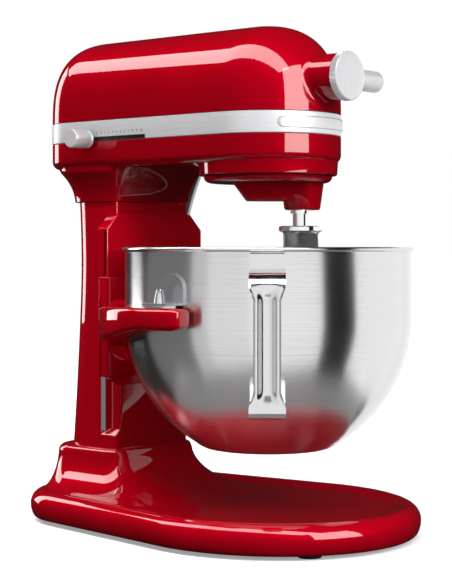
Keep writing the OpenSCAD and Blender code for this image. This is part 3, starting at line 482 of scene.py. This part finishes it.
def housing_lower():
    """Wall: the head's outline with a rounded lower edge. Neck: a rounded rectangle that flares
    upwards on a 42 mm radius. Drum: a stepped round wall about the bowl axis."""
    edge = [(7 * (1 - math.cos(a)), UNDER_Z + 7 - 7 * math.sin(a)) for a in np.linspace(np.pi / 2, 0, 9)]
    wall = loft([at_z(head_outline(d), z) for d, z in edge + [(0, BAND_LOW - 0.5), (0.4, BAND_LOW - 0.1)]])
    rings = []
    for z in np.concatenate([[NECK_LOW, NECK_LOW + 0.5], np.linspace(NECK_LOW + 1.2, UNDER_Z + 5, 26)]):
        f = FILLET_R - math.sqrt(max(0.0, FILLET_R ** 2 - max(0.0, z - NECK_LOW + 2) ** 2))
        lip = -0.8 if z < NECK_LOW + 0.2 else 0.0
        w = min(COLUMN_W + 2.5 + f, HEAD_R - 2.2) + lip
        ring = rounded(NECK_BACK - f - lip, NECK_FRONT + f + lip, w, 34 + 0.5 * f, 6 + 0.8 * f, 14)
        rings.append(at_z(ring, z))
    drum = revolve([(0, UNDER_Z + 15), (HEAD_R - 0.8, UNDER_Z + 15), (HEAD_R - 0.8, 310.4),
                    (DRUM_R + 0.3, 308.2), (DRUM_R, 307.2), (DRUM_R - 0.9, DRUM_LOW + 0.8),
                    (DRUM_R - 1.6, DRUM_LOW), (0, DRUM_LOW)])
    return join_parts(wall, loft(rings), drum)


def dome_power(x):
    """The superellipse power, which changes evenly from the back of the head to the bowl axis."""
    return POWER_BACK + (POWER_FRONT - POWER_BACK) * np.clip((x + HEAD_BACK) / HEAD_BACK, 0, 1)


def dome_surface():
    """Each point of the head's outline rises and moves to the ridge along a superellipse:
    inward by cos^(2/n) and up by sin^(2/n)."""
    base = spread(head_outline(0.0, 20), 9.0)
    a = np.linspace(0, np.pi / 2, 44)[:, None]
    k = 2 / dome_power(base[:, 0])[None, :]
    s = np.cos(a) ** k
    s[-1] = 0
    rise = np.sin(a) ** k
    spine = np.where(base[:, 0] > 0, 0, np.maximum(base[:, 0], -HEAD_BACK + HEAD_R))[None, :]
    x = spine + (base[None, :, 0] - spine) * s
    y = base[None, :, 1] * s
    return np.stack([x, y, DOME_LOW + DOME_H * rise], -1)


def dome_front_x(y, z):
    """Where the dome's front is, ahead of the bowl axis, for a side distance and height."""
    q = np.clip((z - DOME_LOW) / DOME_H, 0, 1)
    w = HEAD_R * (1 - q ** POWER_FRONT) ** (1 / POWER_FRONT)
    return np.sqrt(np.maximum(w * w - y * y, 1.0))


def hub_boss():
    """A round boss: a fillet from a ring on the dome to a cylinder along X, as a quadratic curve."""
    a = np.linspace(0, 2 * np.pi, 128, endpoint=False)

    def on_dome(r, push=0.0):
        y, z = r * np.cos(a), HUB_Z + r * np.sin(a)
        return np.stack([dome_front_x(y, z) - push, y, z], -1)

    r = 18.8
    foot, corner = on_dome(r + 5.5, 0.05), on_dome(r)
    wall = corner + [5.5, 0, 0]
    rings = [on_dome(r + 6.5, 1.5)]
    for t in np.linspace(0, 1, 9):
        rings.append((1 - t) ** 2 * foot + 2 * t * (1 - t) * corner + t * t * wall)
    end = HUB_FACE - 7.0
    for x, radius in ((end - 0.6, 18.6), (end, 18.1), (end, 12.0)):
        rings.append(np.stack([np.full(len(a), x), radius * np.cos(a), HUB_Z + radius * np.sin(a)], -1))
    return loft(rings, cap_first=False, cap_last=False)


def outline_strip(outline, profile):
    """A band along the outline: a closed profile of (outset, height), the outset along the normals."""
    ahead = np.roll(outline, -1, 0) - np.roll(outline, 1, 0)
    normal = np.stack([ahead[:, 1], -ahead[:, 0]], -1)
    normal /= np.linalg.norm(normal, axis=1)[:, None]
    rings = [at_z(outline + normal * d, z) for d, z in profile]
    pts = np.array(rings)
    m, n, _ = pts.shape
    faces = grid_faces(m, n)
    faces += [[(m - 1) * n + j, (m - 1) * n + (j + 1) % n, (j + 1) % n, j] for j in range(n)]
    return pts.reshape(-1, 3), faces


SLOT_X = (-159.0, -82.0)
SLOT_TOP = 328.6


def band_piece():
    """The band: the head's outline with a thin rounded section, notched from below for the lever."""
    outline = spread(head_outline(0.0, 20), 6.0)
    notch = np.array([[SLOT_X[0], -HEAD_R], [SLOT_X[0] + 0.05, -HEAD_R], [SLOT_X[1] - 0.05, -HEAD_R],
                      [SLOT_X[1], -HEAD_R]])
    keep = ~((np.abs(outline[:, 1] + HEAD_R) < 0.01) & (outline[:, 0] > SLOT_X[0] - 2)
             & (outline[:, 0] < SLOT_X[1] + 2))
    gap = int(np.flatnonzero(~keep)[-1])
    before = outline[:gap + 1][keep[:gap + 1]]
    after = outline[gap + 1:]
    outline = np.vstack([before, notch, after])
    ahead = np.roll(outline, -1, 0) - np.roll(outline, 1, 0)
    normal = np.stack([ahead[:, 1], -ahead[:, 0]], -1)
    normal /= np.linalg.norm(normal, axis=1)[:, None]
    inside = (np.abs(outline[:, 1] + HEAD_R) < 0.01) & (outline[:, 0] > SLOT_X[0] + 0.01) \
        & (outline[:, 0] < SLOT_X[1] - 0.01)
    low_z = np.where(inside, SLOT_TOP, BAND_LOW + 0.2)
    top = DOME_LOW - 0.5
    rings = []
    for d, t, z in ((-3, 0, 0), (-0.2, 0, 0), (0.25, 0, 0.35), (0.35, 0, 0.8), (0.35, 1, -0.8),
                    (0.25, 1, -0.35), (-0.2, 1, 0), (-3, 1, 0)):
        height = (low_z if t == 0 else top) + z
        rings.append(np.column_stack([outline + normal * d, np.broadcast_to(height, len(outline))]))
    pts = np.array(rings)
    m, n, _ = pts.shape
    faces = grid_faces(m, n)
    faces += [[(m - 1) * n + j, (m - 1) * n + (j + 1) % n, (j + 1) % n, j] for j in range(n)]
    return pts.reshape(-1, 3), faces


def vent_slots():
    """Six dark slots across the back: shallow black bars that follow the dome's rear line, painted shade in
    place of open vents.
    """
    parts = []
    for z in 356 + 6.0 * np.arange(6):
        q = np.clip((z + 1.3 - DOME_LOW) / DOME_H, 0, 1)
        reach = HEAD_R * (1 - q ** POWER_BACK) ** (1 / POWER_BACK)
        back = -HEAD_BACK + HEAD_R - reach
        parts.append(box_part((back - 0.15, -24, z), (back + 4, 24, z + 2.6), 0.6))
    return join_parts(*parts)


def seam_strip(z0, z1):
    """A dark recessed strip that shows in the joint between two shells."""
    return outline_strip(spread(head_outline(0.0, 20), 9.0), [(-3, z0), (-0.9, z0), (-0.9, z1), (-3, z1)])


put_mesh("lower_housing_enamelled", *housing_lower(), "stand", "red_enamel", ENAMEL, ["lower_housing"])
dome = dome_surface()
put_mesh("upper_housing_enamelled", *join_parts(loft(dome, cap_last=False), hub_boss()), "stand",
         "red_enamel", ENAMEL, ["upper_housing"])
put_mesh("trim_band_brushed", *band_piece(), "stand", "trim_aluminium", BAND_METAL, ["trim_band"])
for seam, seam_z in (("housing_seam_low", BAND_LOW), ("housing_seam_high", DOME_LOW)):
    put_mesh(seam, *seam_strip(seam_z - 1, seam_z + 1), "stand", "black_plastic", BLACK_PLASTIC)


def box_part(lo, hi, edge=0.0):
    """A box between two corners, as a loft of rounded rectangles along Z with rounded ends."""
    lo, hi = np.asarray(lo, float), np.asarray(hi, float)
    cx, cy = (lo[0] + hi[0]) / 2, (lo[1] + hi[1]) / 2
    rings = []
    angles = np.linspace(0, np.pi / 2, 5) if edge else [0.0]
    steps = [(edge * (1 - math.sin(a)), lo[2] + edge * (1 - math.cos(a))) for a in angles]
    steps += [(edge * (1 - math.sin(a)), hi[2] - edge * (1 - math.cos(a))) for a in angles[::-1]]
    for inset, z in steps:
        w, d = (hi[0] - lo[0]) / 2 - inset, (hi[1] - lo[1]) / 2 - inset
        r = max(edge, 0.05)
        ring = np.vstack([arc(w - r, -d + r, r, -90, 0, 4), arc(w - r, d - r, r, 0, 90, 4),
                          arc(-w + r, d - r, r, 90, 180, 4), arc(-w + r, -d + r, r, 180, 270, 4)])
        rings.append(at_z(ring + [cx, cy], z))
    return loft(rings)


# Painted shade: black bars on the dome's back stand in for the shade inside the vent openings.
put_mesh("rear_vent_slots", *vent_slots(), "stand", "black_plastic", BLACK_PLASTIC)
# Painted shade: a black box behind the band's slot stands in for the shade inside the open slot.
put_mesh("slot_liner", *box_part((SLOT_X[0] - 2, -HEAD_R + 1.2, 322), (SLOT_X[1] + 2, -HEAD_R + 3.2, 331)),
         "stand", "black_plastic", BLACK_PLASTIC)


def badge_piece():
    """A plain raised bar with round ends, wrapped round the front of the band."""
    half = math.radians(43.5)
    h = 4.8
    mid = (BAND_LOW + DOME_LOW) / 2
    a = np.linspace(0, 2 * np.pi, 160, endpoint=False)
    end = h / HEAD_R
    u = (half - end) * np.tanh(6 * np.cos(a)) / np.tanh(6) + end * np.cos(a)
    v = h * np.sin(a)
    rings = []
    for d, inset in ((-0.3, 0), (0.9, 0), (1.25, 0.12), (1.4, 0.5)):
        k = 1 - inset / h
        r = HEAD_R + d
        uu = u - np.sign(u) * (inset / HEAD_R)
        rings.append(np.stack([r * np.cos(uu), r * np.sin(uu), mid + v * k], -1))
    return loft(rings, cap_first=False)


put_mesh("band_badge_raised", *badge_piece(), "stand", "trim_aluminium", CAP_METAL, ["band_badge"])


def scale_marks():
    """The numbers of the speed scale, printed over the slot."""
    labels = ["0", "½"] + [str(k) for k in range(1, 11)]
    pieces = []
    for i, label in enumerate(labels):
        curve = bpy.data.curves.new("mark", "FONT")
        curve.body = label
        curve.size = 3.3 * MM
        curve.extrude = 0.04 * MM
        curve.align_x = "CENTER"
        obj = bpy.data.objects.new("mark", curve)
        bpy.context.scene.collection.objects.link(obj)
        bpy.context.view_layer.update()
        mesh = bpy.data.meshes.new_from_object(obj.evaluated_get(bpy.context.evaluated_depsgraph_get()))
        co = np.zeros(len(mesh.vertices) * 3)
        mesh.vertices.foreach_get("co", co)
        co = co.reshape(-1, 3)
        x = (-138.4 + (138.4 - 86.8) * i / 11) * MM
        place = np.stack([co[:, 0] + x, -(HEAD_R + 0.38) * MM - co[:, 2], co[:, 1] + 330.9 * MM], -1)
        faces = [list(p.vertices) for p in mesh.polygons]
        pieces.append((place / MM, faces))
        bpy.data.objects.remove(obj)
        bpy.data.curves.remove(curve)
    return join_parts(*pieces)


put_mesh("speed_scale_print", *scale_marks(), "stand", "black_plastic", PRINT)


# ---------------------------------------------------------------- hub, knobs and levers

def cap_piece():
    """The hub cap: a disc about X whose rim radius ripples with the angle, and a lipped front face."""
    a = np.linspace(0, 2 * np.pi, 720, endpoint=False)
    ripple = 0.22 * np.cos(120 * a)
    rings = []
    for x, r, k in ((-6.7, 12.0, 0), (-6.7, 18.9, 0), (-6.4, 19.3, 0.6), (-6.0, 19.35, 1), (-1.3, 19.35, 1),
                    (-0.9, 19.3, 0.5), (-0.5, 19.1, 0), (-0.1, 18.7, 0), (0, 18.2, 0), (-0.12, 17.9, 0),
                    (-0.12, 9.0, 0), (-0.12, 0.0, 0)):
        rr = r + k * ripple
        rings.append(np.stack([np.full(len(a), HUB_FACE + x), rr * np.cos(a), HUB_Z + rr * np.sin(a)], -1))
    spigot = turned(revolve([(5.8, 0), (5.8, 22)], 48), TO_X, (HUB_FACE - 6.7 - 22, 0, HUB_Z))
    return join_parts(loft(rings, cap_first=False, cap_last=False), spigot)


def knob_profile(r, y0, y1, edge=1.2):
    """A round knob with softened ends, as (radius, distance) pairs."""
    t = np.linspace(0, np.pi / 2, 6)
    return [(0, y0)] + [(r - edge + edge * math.sin(a), y0 + edge - edge * math.cos(a)) for a in t] \
        + [(r - edge + edge * math.cos(a), y1 - edge + edge * math.sin(a)) for a in t] + [(0, y1)]


put_mesh("hub_cap_knurled", *cap_piece(), "hub_cap", "trim_aluminium", CAP_METAL, ["hub_cap"])
knob_lo, knob_hi = low("attachment_knob"), high("attachment_knob")
knob_x = (knob_lo[0] + knob_hi[0]) / 2
thumb = join_parts(revolve(knob_profile(8.8, 24, knob_hi[1]), 96),
                   revolve([(0, 12.6), (3.05, 12.6), (3.05, 26), (0, 26)], 32),
                   revolve([(0, 20.4), (6, 20.4), (6, 25), (0, 25)], 48))
put_mesh("thumb_screw_polished", *turned(thumb, TO_Y, (knob_x, 0, HUB_Z)), "attachment_knob",
         "polished_steel", CAP_METAL, ["attachment_knob"])


def speed_knob_piece():
    """A round knob with a waist near the band."""
    lo = low("speed_knob")
    hi = high("speed_knob")
    cx, cz = (lo[0] + hi[0]) / 2, (lo[2] + hi[2]) / 2
    length = hi[1] - lo[1]
    profile = [(0, 0), (7.0, 0), (7.4, 0.4), (7.4, 1.6), (7.1, 2.1), (6.9, 3.0), (7.1, 4.0), (7.85, 5.2),
               (7.85, length - 0.9), (7.6, length - 0.35), (7.2, length), (0, length)]
    return turned(revolve(profile, 96), TO_MINUS_Y, (cx, hi[1], cz))


put_mesh("speed_knob_polished", *speed_knob_piece(), "speed_lever", "polished_steel", CAP_METAL,
         ["speed_knob"])


def flat_bar(path, width, y0, y1, edge=0.6):
    """A flat bar in the XZ plane: an outline round a path, with softened edges, from y0 to y1."""
    path = np.asarray(path, float)
    d = np.gradient(path, axis=0)
    d /= np.linalg.norm(d, axis=1)[:, None]
    normal = np.stack([-d[:, 1], d[:, 0]], -1)
    w = np.asarray(width, float)[:, None] / 2

    def ring(inset, y):
        left, right = path + normal * (w - inset), path - normal * (w - inset)
        a = np.radians(np.linspace(90, -90, 13))[1:-1]
        e, f = d[-1], normal[-1]
        tip = path[-1] + (w[-1] - inset) * (np.cos(a)[:, None] * e + np.sin(a)[:, None] * f)
        e, f = -d[0], -normal[0]
        tail = path[0] + (w[0] - inset) * (np.cos(a)[:, None] * e + np.sin(a)[:, None] * f)
        flat = np.vstack([left, tip, right[::-1], tail])
        return np.stack([flat[:, 0], np.full(len(flat), y), flat[:, 1]], -1)

    rings = []
    for inset, y in ((edge, y0), (0.3 * edge, y0 + 0.3 * edge), (0, y0 + edge), (0, y1 - edge),
                     (0.3 * edge, y1 - 0.3 * edge), (edge, y1)):
        rings.append(ring(inset, y))
    return loft(rings)


def lift_lever_piece():
    """A flat bar bent a little, from the shaft's boss to the grip, with a round grip on its end."""
    s = np.linspace(0, 1, 16)
    path = np.stack([-158 + 8.5 * s + 17.5 * s ** 2, 235 + 76 * s], -1)
    width = 17 - 5.0 * np.minimum(1, s * 2.2)
    bar = flat_bar(path, width, 62.5, 66.5)
    grip = turned(revolve(knob_profile(6, 0, 12, 1.0), 64), TO_Y, (-134.0, 65.5, 307))
    return join_parts(bar, grip)


put_mesh("lift_lever_polished", *lift_lever_piece(), "lift_lever", "polished_steel", CAP_METAL,
         ["lift_lever"])


# ---------------------------------------------------------------- carriage and pins

def arm_section(low_z, top_z, r0, r1, edge):
    """A rounded section of an arm, as (radius, height) points."""
    return np.vstack([arc(r1 - edge, low_z + edge, edge, -90, 0, 5),
                      arc(r1 - edge, top_z - edge, edge, 0, 90, 5),
                      arc(r0 + edge, top_z - edge, edge, 90, 180, 5),
                      arc(r0 + edge, low_z + edge, edge, 180, 270, 5)])


def arm_piece(side):
    """One arm: a rounded section swept round the bowl axis, deep at the root, and a rounded end."""
    rings = []
    end = np.linspace(0, 1, 12)
    angles = list(np.linspace(155, 84.5, 40)) + list(84.5 - 4.5 * np.sin(end[1:] * np.pi / 2))
    for i, a in enumerate(angles):
        t = min(1.0, (155 - a) / 58)
        root = max(0.0, 1 - t / 0.16) ** 2
        low_z = 154.5 + 17 * t ** 1.5 - 15 * root
        top = 188.7 - 3.4 * (1 - t) ** 1.5 + 5 * root
        r0, r1 = BOWL_R + 1.6 + 1.6 * t, 137.5 + 3.2 * t
        close = 0.0 if i < 40 else 1 - math.cos(end[i - 39] * np.pi / 2)
        squeeze = 5.0 * close
        sec = arm_section(low_z + squeeze * 0.8, top - squeeze * 0.4, r0 + squeeze * 0.3,
                          r1 - squeeze, 4.5 - 2.0 * close)
        ar = math.radians(a)
        rings.append(np.stack([sec[:, 0] * math.cos(ar), side * sec[:, 0] * math.sin(ar), sec[:, 1]], -1))
    return loft(rings)


def carriage_piece():
    """A yoke round the slab: a front plate and two cheeks with rounded edges, and the two arms."""
    front = SLAB_FRONT + 4.2
    plate = box_part((SLAB_FRONT + 0.35, -61.6, 125), (front, 61.6, 210), 1.6)
    cheeks = []
    for s in (-1, 1):
        y0, y1 = sorted((s * 60.35, s * 61.6))
        cheeks.append(box_part((COLUMN_FRONT - 4.5, y0, 125), (front - 0.5, y1, 209.5), 0.5))
        y0, y1 = sorted((s * 47.0, s * 61.6))
        cheeks.append(box_part((COLUMN_FRONT - 4.5, y0, 125), (COLUMN_FRONT - 0.6, y1, 193), 1.2))
    return join_parts(plate, *cheeks, arm_piece(1), arm_piece(-1))


put_mesh("carriage_enamelled", *carriage_piece(), "bowl_support", "red_enamel", ENAMEL, ["carriage"])


def pin_piece(side):
    """A cone-shaped pin with a rounded nose on a thin round foot."""
    z = high("arm_plates")[2]
    profile = [(0, z - 1), (5.6, z - 1), (5.6, z + 0.5), (4.4, z + 0.9), (4.35, z + 4), (2.7, z + 11.5),
               (2.3, z + 12.4), (1.5, z + 12.9), (0, z + 13)]
    return turned(revolve(profile, 64), np.eye(3), (0, side * 130, 0))


put_mesh("locating_pins_polished", *join_parts(pin_piece(1), pin_piece(-1)), "bowl_support",
         "polished_steel", PRESSED, ["locating_pins"])


# ---------------------------------------------------------------- bowl

ROUND_Z = RIM_Z - 56
BIG_R = BOWL_R + 3.5
FLOOR_Z = low("bowl_shell")[2]


def wall_radius(z):
    """The bowl's outer radius at a height: straight above, then an arc of 121 mm."""
    z = np.asarray(z, float)
    drop = np.maximum(ROUND_Z - z, 0)
    return BOWL_R - BIG_R + np.sqrt(np.maximum(BIG_R ** 2 - drop ** 2, 0))


def bowl_profile():
    """Outside from the bottom's middle to the rolled rim, then down the inside to the middle."""
    last = math.asin((ROUND_Z - FLOOR_Z - 6) / BIG_R)
    a = np.linspace(last, 0, 60)
    outer = np.stack([BOWL_R - BIG_R + BIG_R * np.cos(a), ROUND_Z - BIG_R * np.sin(a)], -1)
    r0 = outer[0, 0]
    corner = [(0, FLOOR_Z + 0.8), (r0 - 24, FLOOR_Z + 0.6), (r0 - 13, FLOOR_Z), (r0 - 8.5, FLOOR_Z + 0.9),
              (r0 - 4, FLOOR_Z + 3)]
    rim = arc(BOWL_R + 0.9, RIM_Z - 1.7, 1.75, -110, 170, 14)
    inner = outer[::-1] - np.stack([np.cos(a[::-1]), -np.sin(a[::-1])], -1) * BOWL_T
    floor = [(r0 - 6, FLOOR_Z + 3.6), (r0 - 12, FLOOR_Z + 2.2), (r0 - 24, FLOOR_Z + 1.8), (0, FLOOR_Z + 2.0)]
    return np.vstack([corner, outer, [[BOWL_R, RIM_Z - 4.2]], rim, [[BOWL_R - BOWL_T, RIM_Z - 4.5]],
                      inner, floor])


put_mesh("bowl_brushed", *revolve(bowl_profile(), 256), "bowl", "bowl_steel", BOWL_STEEL, ["bowl_shell"],
         sharp=50.0)

HANDLE_ANGLE = math.radians(-51)
GRIP_X = BOWL_R + 40.0


def handle_strip():
    """A pressed strip: its middle line runs from the rim plate over a shelf, down the grip and back in.
    Across the strip the grip bulges outward in a raised rib between two turned edges."""
    shelf = RIM_Z - 18.5
    foot = RIM_Z - 123.5
    shelf_line = np.stack([np.linspace(BOWL_R + 1.6, GRIP_X - 13, 8),
                           np.linspace(shelf + 0.6, shelf - 1.6, 8)], -1)
    top_bend = arc(GRIP_X - 12.5, shelf - 14, 12.5, 88, 4, 10)
    grip = np.stack([np.full(30, GRIP_X), np.linspace(shelf - 17, foot + 7, 30)], -1)
    low_bend = arc(GRIP_X - 5, foot + 5, 5, -4, -88, 8)
    low_line = np.stack([np.linspace(GRIP_X - 6.5, wall_radius(foot) + 4, 8), np.full(8, foot)], -1)
    turn = arc(float(wall_radius(foot)) + 4.5, foot + 3.5, 3.5, -100, -185, 5)
    zs = np.linspace(foot + 5, foot + 24, 6)
    flange = np.stack([wall_radius(zs) + 1.3, zs], -1)
    line = np.vstack([[[BOWL_R + 1.3, RIM_Z - 5.2], [BOWL_R + 1.3, RIM_Z - 12], [BOWL_R + 1.3, shelf + 1.6]],
                      shelf_line, top_bend, grip, low_bend, low_line, turn, flange])
    d = np.gradient(line, axis=0)
    d /= np.linalg.norm(d, axis=1)[:, None]
    out = np.stack([-d[:, 1], d[:, 0]], -1) * -1
    z = line[:, 1]
    on_grip = np.clip((shelf - 10 - z) / 10, 0, 1) * np.clip((z - foot - 8) / 10, 0, 1) \
        * (line[:, 0] > GRIP_X - 6)
    waist = 13.5 - 3.5 * on_grip
    u = np.linspace(-1, 1, 41)
    rib = 0.5 + 0.5 * np.cos(np.pi * np.clip(np.abs(u) / 0.78, 0, 1) ** 1.6)
    edge = np.clip((np.abs(u) - 0.82) / 0.18, 0, 1) ** 2
    lift = on_grip[:, None] * (3.8 * rib[None, :] - 2.6 * edge[None, :])
    rings = []
    for shift in (0.0, -1.6):
        r = line[:, 0][:, None] + out[:, 0][:, None] * (lift + shift)
        h = line[:, 1][:, None] + out[:, 1][:, None] * (lift + shift)
        rings.append(np.stack([r, waist[:, None] * u[None, :], h], -1))
    front, back = rings
    pts = np.concatenate([front, back[:, ::-1]], 1)
    return turned(loft(pts), about_z(HANDLE_ANGLE))


def weld_spots():
    """Two shallow round spots on the handle's upper plate."""
    spots = []
    for s in (-1, 1):
        dish = revolve([(0, 0.25), (1.1, 0.25), (1.4, 0.0)], 24)
        spots.append(turned(turned(dish, TO_X, (BOWL_R + 2.1, s * 8.6, RIM_Z - 9.4)), about_z(HANDLE_ANGLE)))
    return join_parts(*spots)


put_mesh("bowl_handle_pressed", *handle_strip(), "bowl", "polished_steel", PRESSED, ["bowl_handle"])
put_mesh("bowl_handle_welds", *weld_spots(), "bowl", "polished_steel", BOWL_STEEL)


# ---------------------------------------------------------------- planetary and whisk

def carrier_piece():
    """A cup about the bowl axis, a tapering arm under it, and a cone-sided boss round the tool shaft."""
    edge = [(47 + 5.7 * math.cos(a), 292.2 - 4.7 * math.sin(a)) for a in np.linspace(0.1, np.pi / 2, 10)]
    cup = revolve([(0, 292.9), (52.2, 292.9), (52.8, 292.4)] + edge + [(0, 287.5)])
    stations = []
    for s, bottom, half in ((-30.5, 288.5, 12.0), (-28.4, 287.6, 13.0), (-18.4, 273.9, 14.0),
                            (-17.2, 273.0, 14.0), (-8, 272.8, 14.2), (10, 272.8, 14.4), (30, 272.8, 14.6)):
        top = 290.0
        e = min(2.2, (top - bottom) / 2.2)
        sec = np.vstack([arc(half - e, bottom + e, e, -90, 0, 5), [[half + 0.8, top], [-half - 0.8, top]],
                         arc(-half + e, bottom + e, e, 180, 270, 5)])
        stations.append(np.column_stack([np.full(len(sec), s), sec]))
    arm = loft(stations)
    side = [(6.6, 265.4), (13.2, 265.4), (14.4, 265.9), (14.9, 267.2), (18.0, 289.5), (6.6, 289.5)]
    boss = turned(revolve(side, 96), np.eye(3), (PLANET_OFFSET + 1.2, 0, 0))
    return turned(join_parts(cup, arm, boss), about_z(PLANET_ANGLE))


put_mesh("planetary_enamelled", *carrier_piece(), "planetary", "red_enamel", ENAMEL, ["planetary_carrier"])


def whisk_hub_piece():
    """A drum with a flange, a neck and a rounded nose, turned about the tool shaft."""
    profile = [(0, 220), (6.7, 220), (6.7, 252.2), (17.2, 252.2), (17.8, 251.8), (18, 251.2), (18, 248.4),
               (17.6, 247.8), (16, 247.4), (15, 246.6), (14.5, 245.6), (14.5, 226), (14.1, 222),
               (12.6, 215.5), (11.6, 214), (0, 214)]
    return turned(revolve(profile, 96), np.eye(3), (PLANET[0], PLANET[1], 0))


def wire_loops():
    """Balloon wires: each loop is an ellipse below its widest height and a narrowing curve above it,
    carried round by a small circle."""
    steps, around = 90, 10
    widest, top, bottom, reach, wire = 128.0, 217.0, 90.0, 43.0, 1.2
    t = np.linspace(0.0, 1.0, steps)
    lower = t < 0.5
    z = np.where(lower, widest - (widest - bottom) * np.cos(np.pi * t),
                 widest + (top - widest) * np.abs(np.cos(np.pi * t)) ** 0.9)
    r = np.where(lower, reach * np.sin(np.pi * t) ** 0.9, 9 + (reach - 9) * np.cos(np.pi * (t - 0.5)))
    half = np.stack([r, z], -1)
    path = np.vstack([half[::-1], half[1:] * [-1, 1]])
    d = np.gradient(path, axis=0)
    d /= np.linalg.norm(d, axis=1)[:, None]
    a = np.linspace(0, 2 * np.pi, around, endpoint=False)
    parts = []
    for k in range(3):
        lift = 1.3 * (k - 1)
        x = path[:, 0][:, None] + wire * np.cos(a) * d[:, 1][:, None]
        y = np.broadcast_to(wire * np.sin(a), x.shape)
        h = path[:, 1][:, None] - wire * np.cos(a) * d[:, 0][:, None]
        crossing = np.exp(-(path[:, 0] / 16) ** 2) * (path[:, 1] < widest)
        ring = np.stack([x, y, h + lift * crossing[:, None]], -1)
        parts.append(turned(loft(ring), about_z(math.radians(60 * k + 5)), (PLANET[0], PLANET[1], 0)))
    return join_parts(*parts)


put_mesh("whisk_hub_turned", *whisk_hub_piece(), "whisk", "trim_aluminium", POLISHED, ["whisk_hub"])
put_mesh("whisk_wires_bent", *wire_loops(), "whisk", "polished_steel", POLISHED, ["whisk_wires"])


# ---------------------------------------------------------------- floor and light

def make_floor():
    """A wide white floor under the mixer, which reflections don't see."""
    mesh = bpy.data.meshes.new("floor")
    s = 30.0
    mesh.from_pydata([(-s, -s, 0), (s, -s, 0), (s, s, 0), (-s, s, 0)], [], [(0, 1, 2, 3)])
    floor = bpy.data.objects.new("floor", mesh)
    bpy.context.scene.collection.objects.link(floor)
    mat, tree, shader = new_material("white_floor")
    set_inputs(shader, Base_Color=(0.9, 0.9, 0.9, 1), Roughness=0.7, Specular_IOR_Level=0.0,
               Emission_Color=(1, 1, 1, 1))
    coord = tree.nodes.new("ShaderNodeTexCoord")
    length = tree.nodes.new("ShaderNodeVectorMath")
    length.operation = "LENGTH"
    tree.links.new(coord.outputs["Object"], length.inputs[0])
    tree.links.new(remap(tree, length.outputs["Value"], 0.30, 1.05, 0.25, 1.1),
                   shader.inputs["Emission Strength"])
    mesh.materials.append(mat)
    floor.visible_glossy = False
    floor.visible_diffuse = False
    floor.visible_shadow = False


def softbox(name, centre, size, radiance, target=None):
    """A rectangular softbox at centre that faces target, with the radiance its face shows."""
    data = bpy.data.lights.new(name, "AREA")
    data.shape = "RECTANGLE"
    data.size, data.size_y = size
    data.energy = radiance * math.pi * size[0] * size[1]
    light = bpy.data.objects.new(name, data)
    bpy.context.scene.collection.objects.link(light)
    light.location = centre
    aim = Vector(target) - Vector(centre)
    light.rotation_euler = aim.to_track_quat("-Z", "Y").to_euler()
    light.visible_camera = False
    return light


def linked(name, wanted, unwanted):
    """A collection of the meshes with a wanted material, or with any when that is None, less the unwanted."""
    group = bpy.data.collections.new(name)
    for obj in bpy.data.objects:
        if obj.type != "MESH":
            continue
        used = [slot.material for slot in obj.material_slots]
        if any(m in unwanted for m in used) or (wanted is not None and not any(m in wanted for m in used)):
            continue
        group.objects.link(obj)
    return group


def make_light():
    """Soft studio light: a long box over the near side, a tall box in front and dim walls; the camera
    sees a white background."""
    bpy.context.scene.view_settings.view_transform = "Standard"
    world = bpy.data.worlds.new("studio")
    bpy.context.scene.world = world
    world.use_nodes = True
    tree = world.node_tree
    dim = tree.nodes["Background"]
    dim.inputs["Color"].default_value = (1, 1, 1, 1)
    dim.inputs["Strength"].default_value = 0.012
    white = tree.nodes.new("ShaderNodeBackground")
    white.inputs["Strength"].default_value = 1.0
    white.inputs["Color"].default_value = (1, 1, 1, 1)
    path = tree.nodes.new("ShaderNodeLightPath")
    mix = tree.nodes.new("ShaderNodeMixShader")
    tree.links.new(path.outputs["Is Camera Ray"], mix.inputs[0])
    tree.links.new(dim.outputs[0], mix.inputs[1])
    tree.links.new(white.outputs[0], mix.inputs[2])
    tree.links.new(mix.outputs[0], tree.nodes["World Output"].inputs["Surface"])
    softbox("overhead_box", (-0.25, -0.70, 1.6), (3.9, 0.70), 6.2, (-0.25, -0.70, 0))
    front = softbox("front_box", (1.5, -0.16, 0.86), (1.08, 1.41), 6.6, (0, -0.16, 0.86))
    front.light_linking.receiver_collection = linked("all_but_steel", None, (BOWL_STEEL, POLISHED, PRESSED))
    for name, place, size, radiance, aim in (
            ("column_fill", (-0.75, -1.0, 0.10), (0.5, 0.5), 5.0, (-0.15, 0, 0.12)),
            ("head_fill", (0.75, -0.9, 1.1), (0.8, 0.8), 1.5, (0.02, 0, 0.1))):
        fill = softbox(name, place, size, radiance, aim)
        fill.visible_glossy = False
    low_parts = bpy.data.collections.new("base_and_column")
    for piece in ("base_enamelled_casting", "column_enamelled_casting", "slab_enamelled",
                  "carriage_enamelled"):
        low_parts.objects.link(bpy.data.objects[piece])
    fill = softbox("base_fill", (0.55, -0.9, 0.8), (0.8, 0.8), 3.4, (0.0, 0, 0.1))
    fill.visible_glossy = False
    fill.data.use_shadow = False
    fill.light_linking.receiver_collection = low_parts
    softbox("back_box", (-1.6, -0.12, 0.62), (0.5, 1.0), 5.0, (0, -0.12, 0.5))
    metal = linked("metal_only", METALS, ())
    for name, start, end, radiance in (
            ("steel_dim", -160, -112, 0.19), ("steel_near", -112, -98, 0.75), ("steel_left", -98, -66, 1.0),
            ("steel_middle", -66, -8, 1.15), ("steel_right", 20, 82, 1.2), ("steel_far", 82, 140, 1.1)):
        middle, half = math.radians((start + end) / 2), math.radians((end - start) / 2)
        place = (1.9 * math.cos(middle), 1.9 * math.sin(middle), 0.0)
        box = softbox(name, place, (2 * 1.9 * math.tan(half), 2.6), radiance, (0, 0, 0))
        box.light_linking.receiver_collection = metal
    below = softbox("steel_floor", (0, 0, -1.4), (3.8, 3.8), 0.30, (0, 0, 0))
    below.light_linking.receiver_collection = metal


make_floor()
make_light()
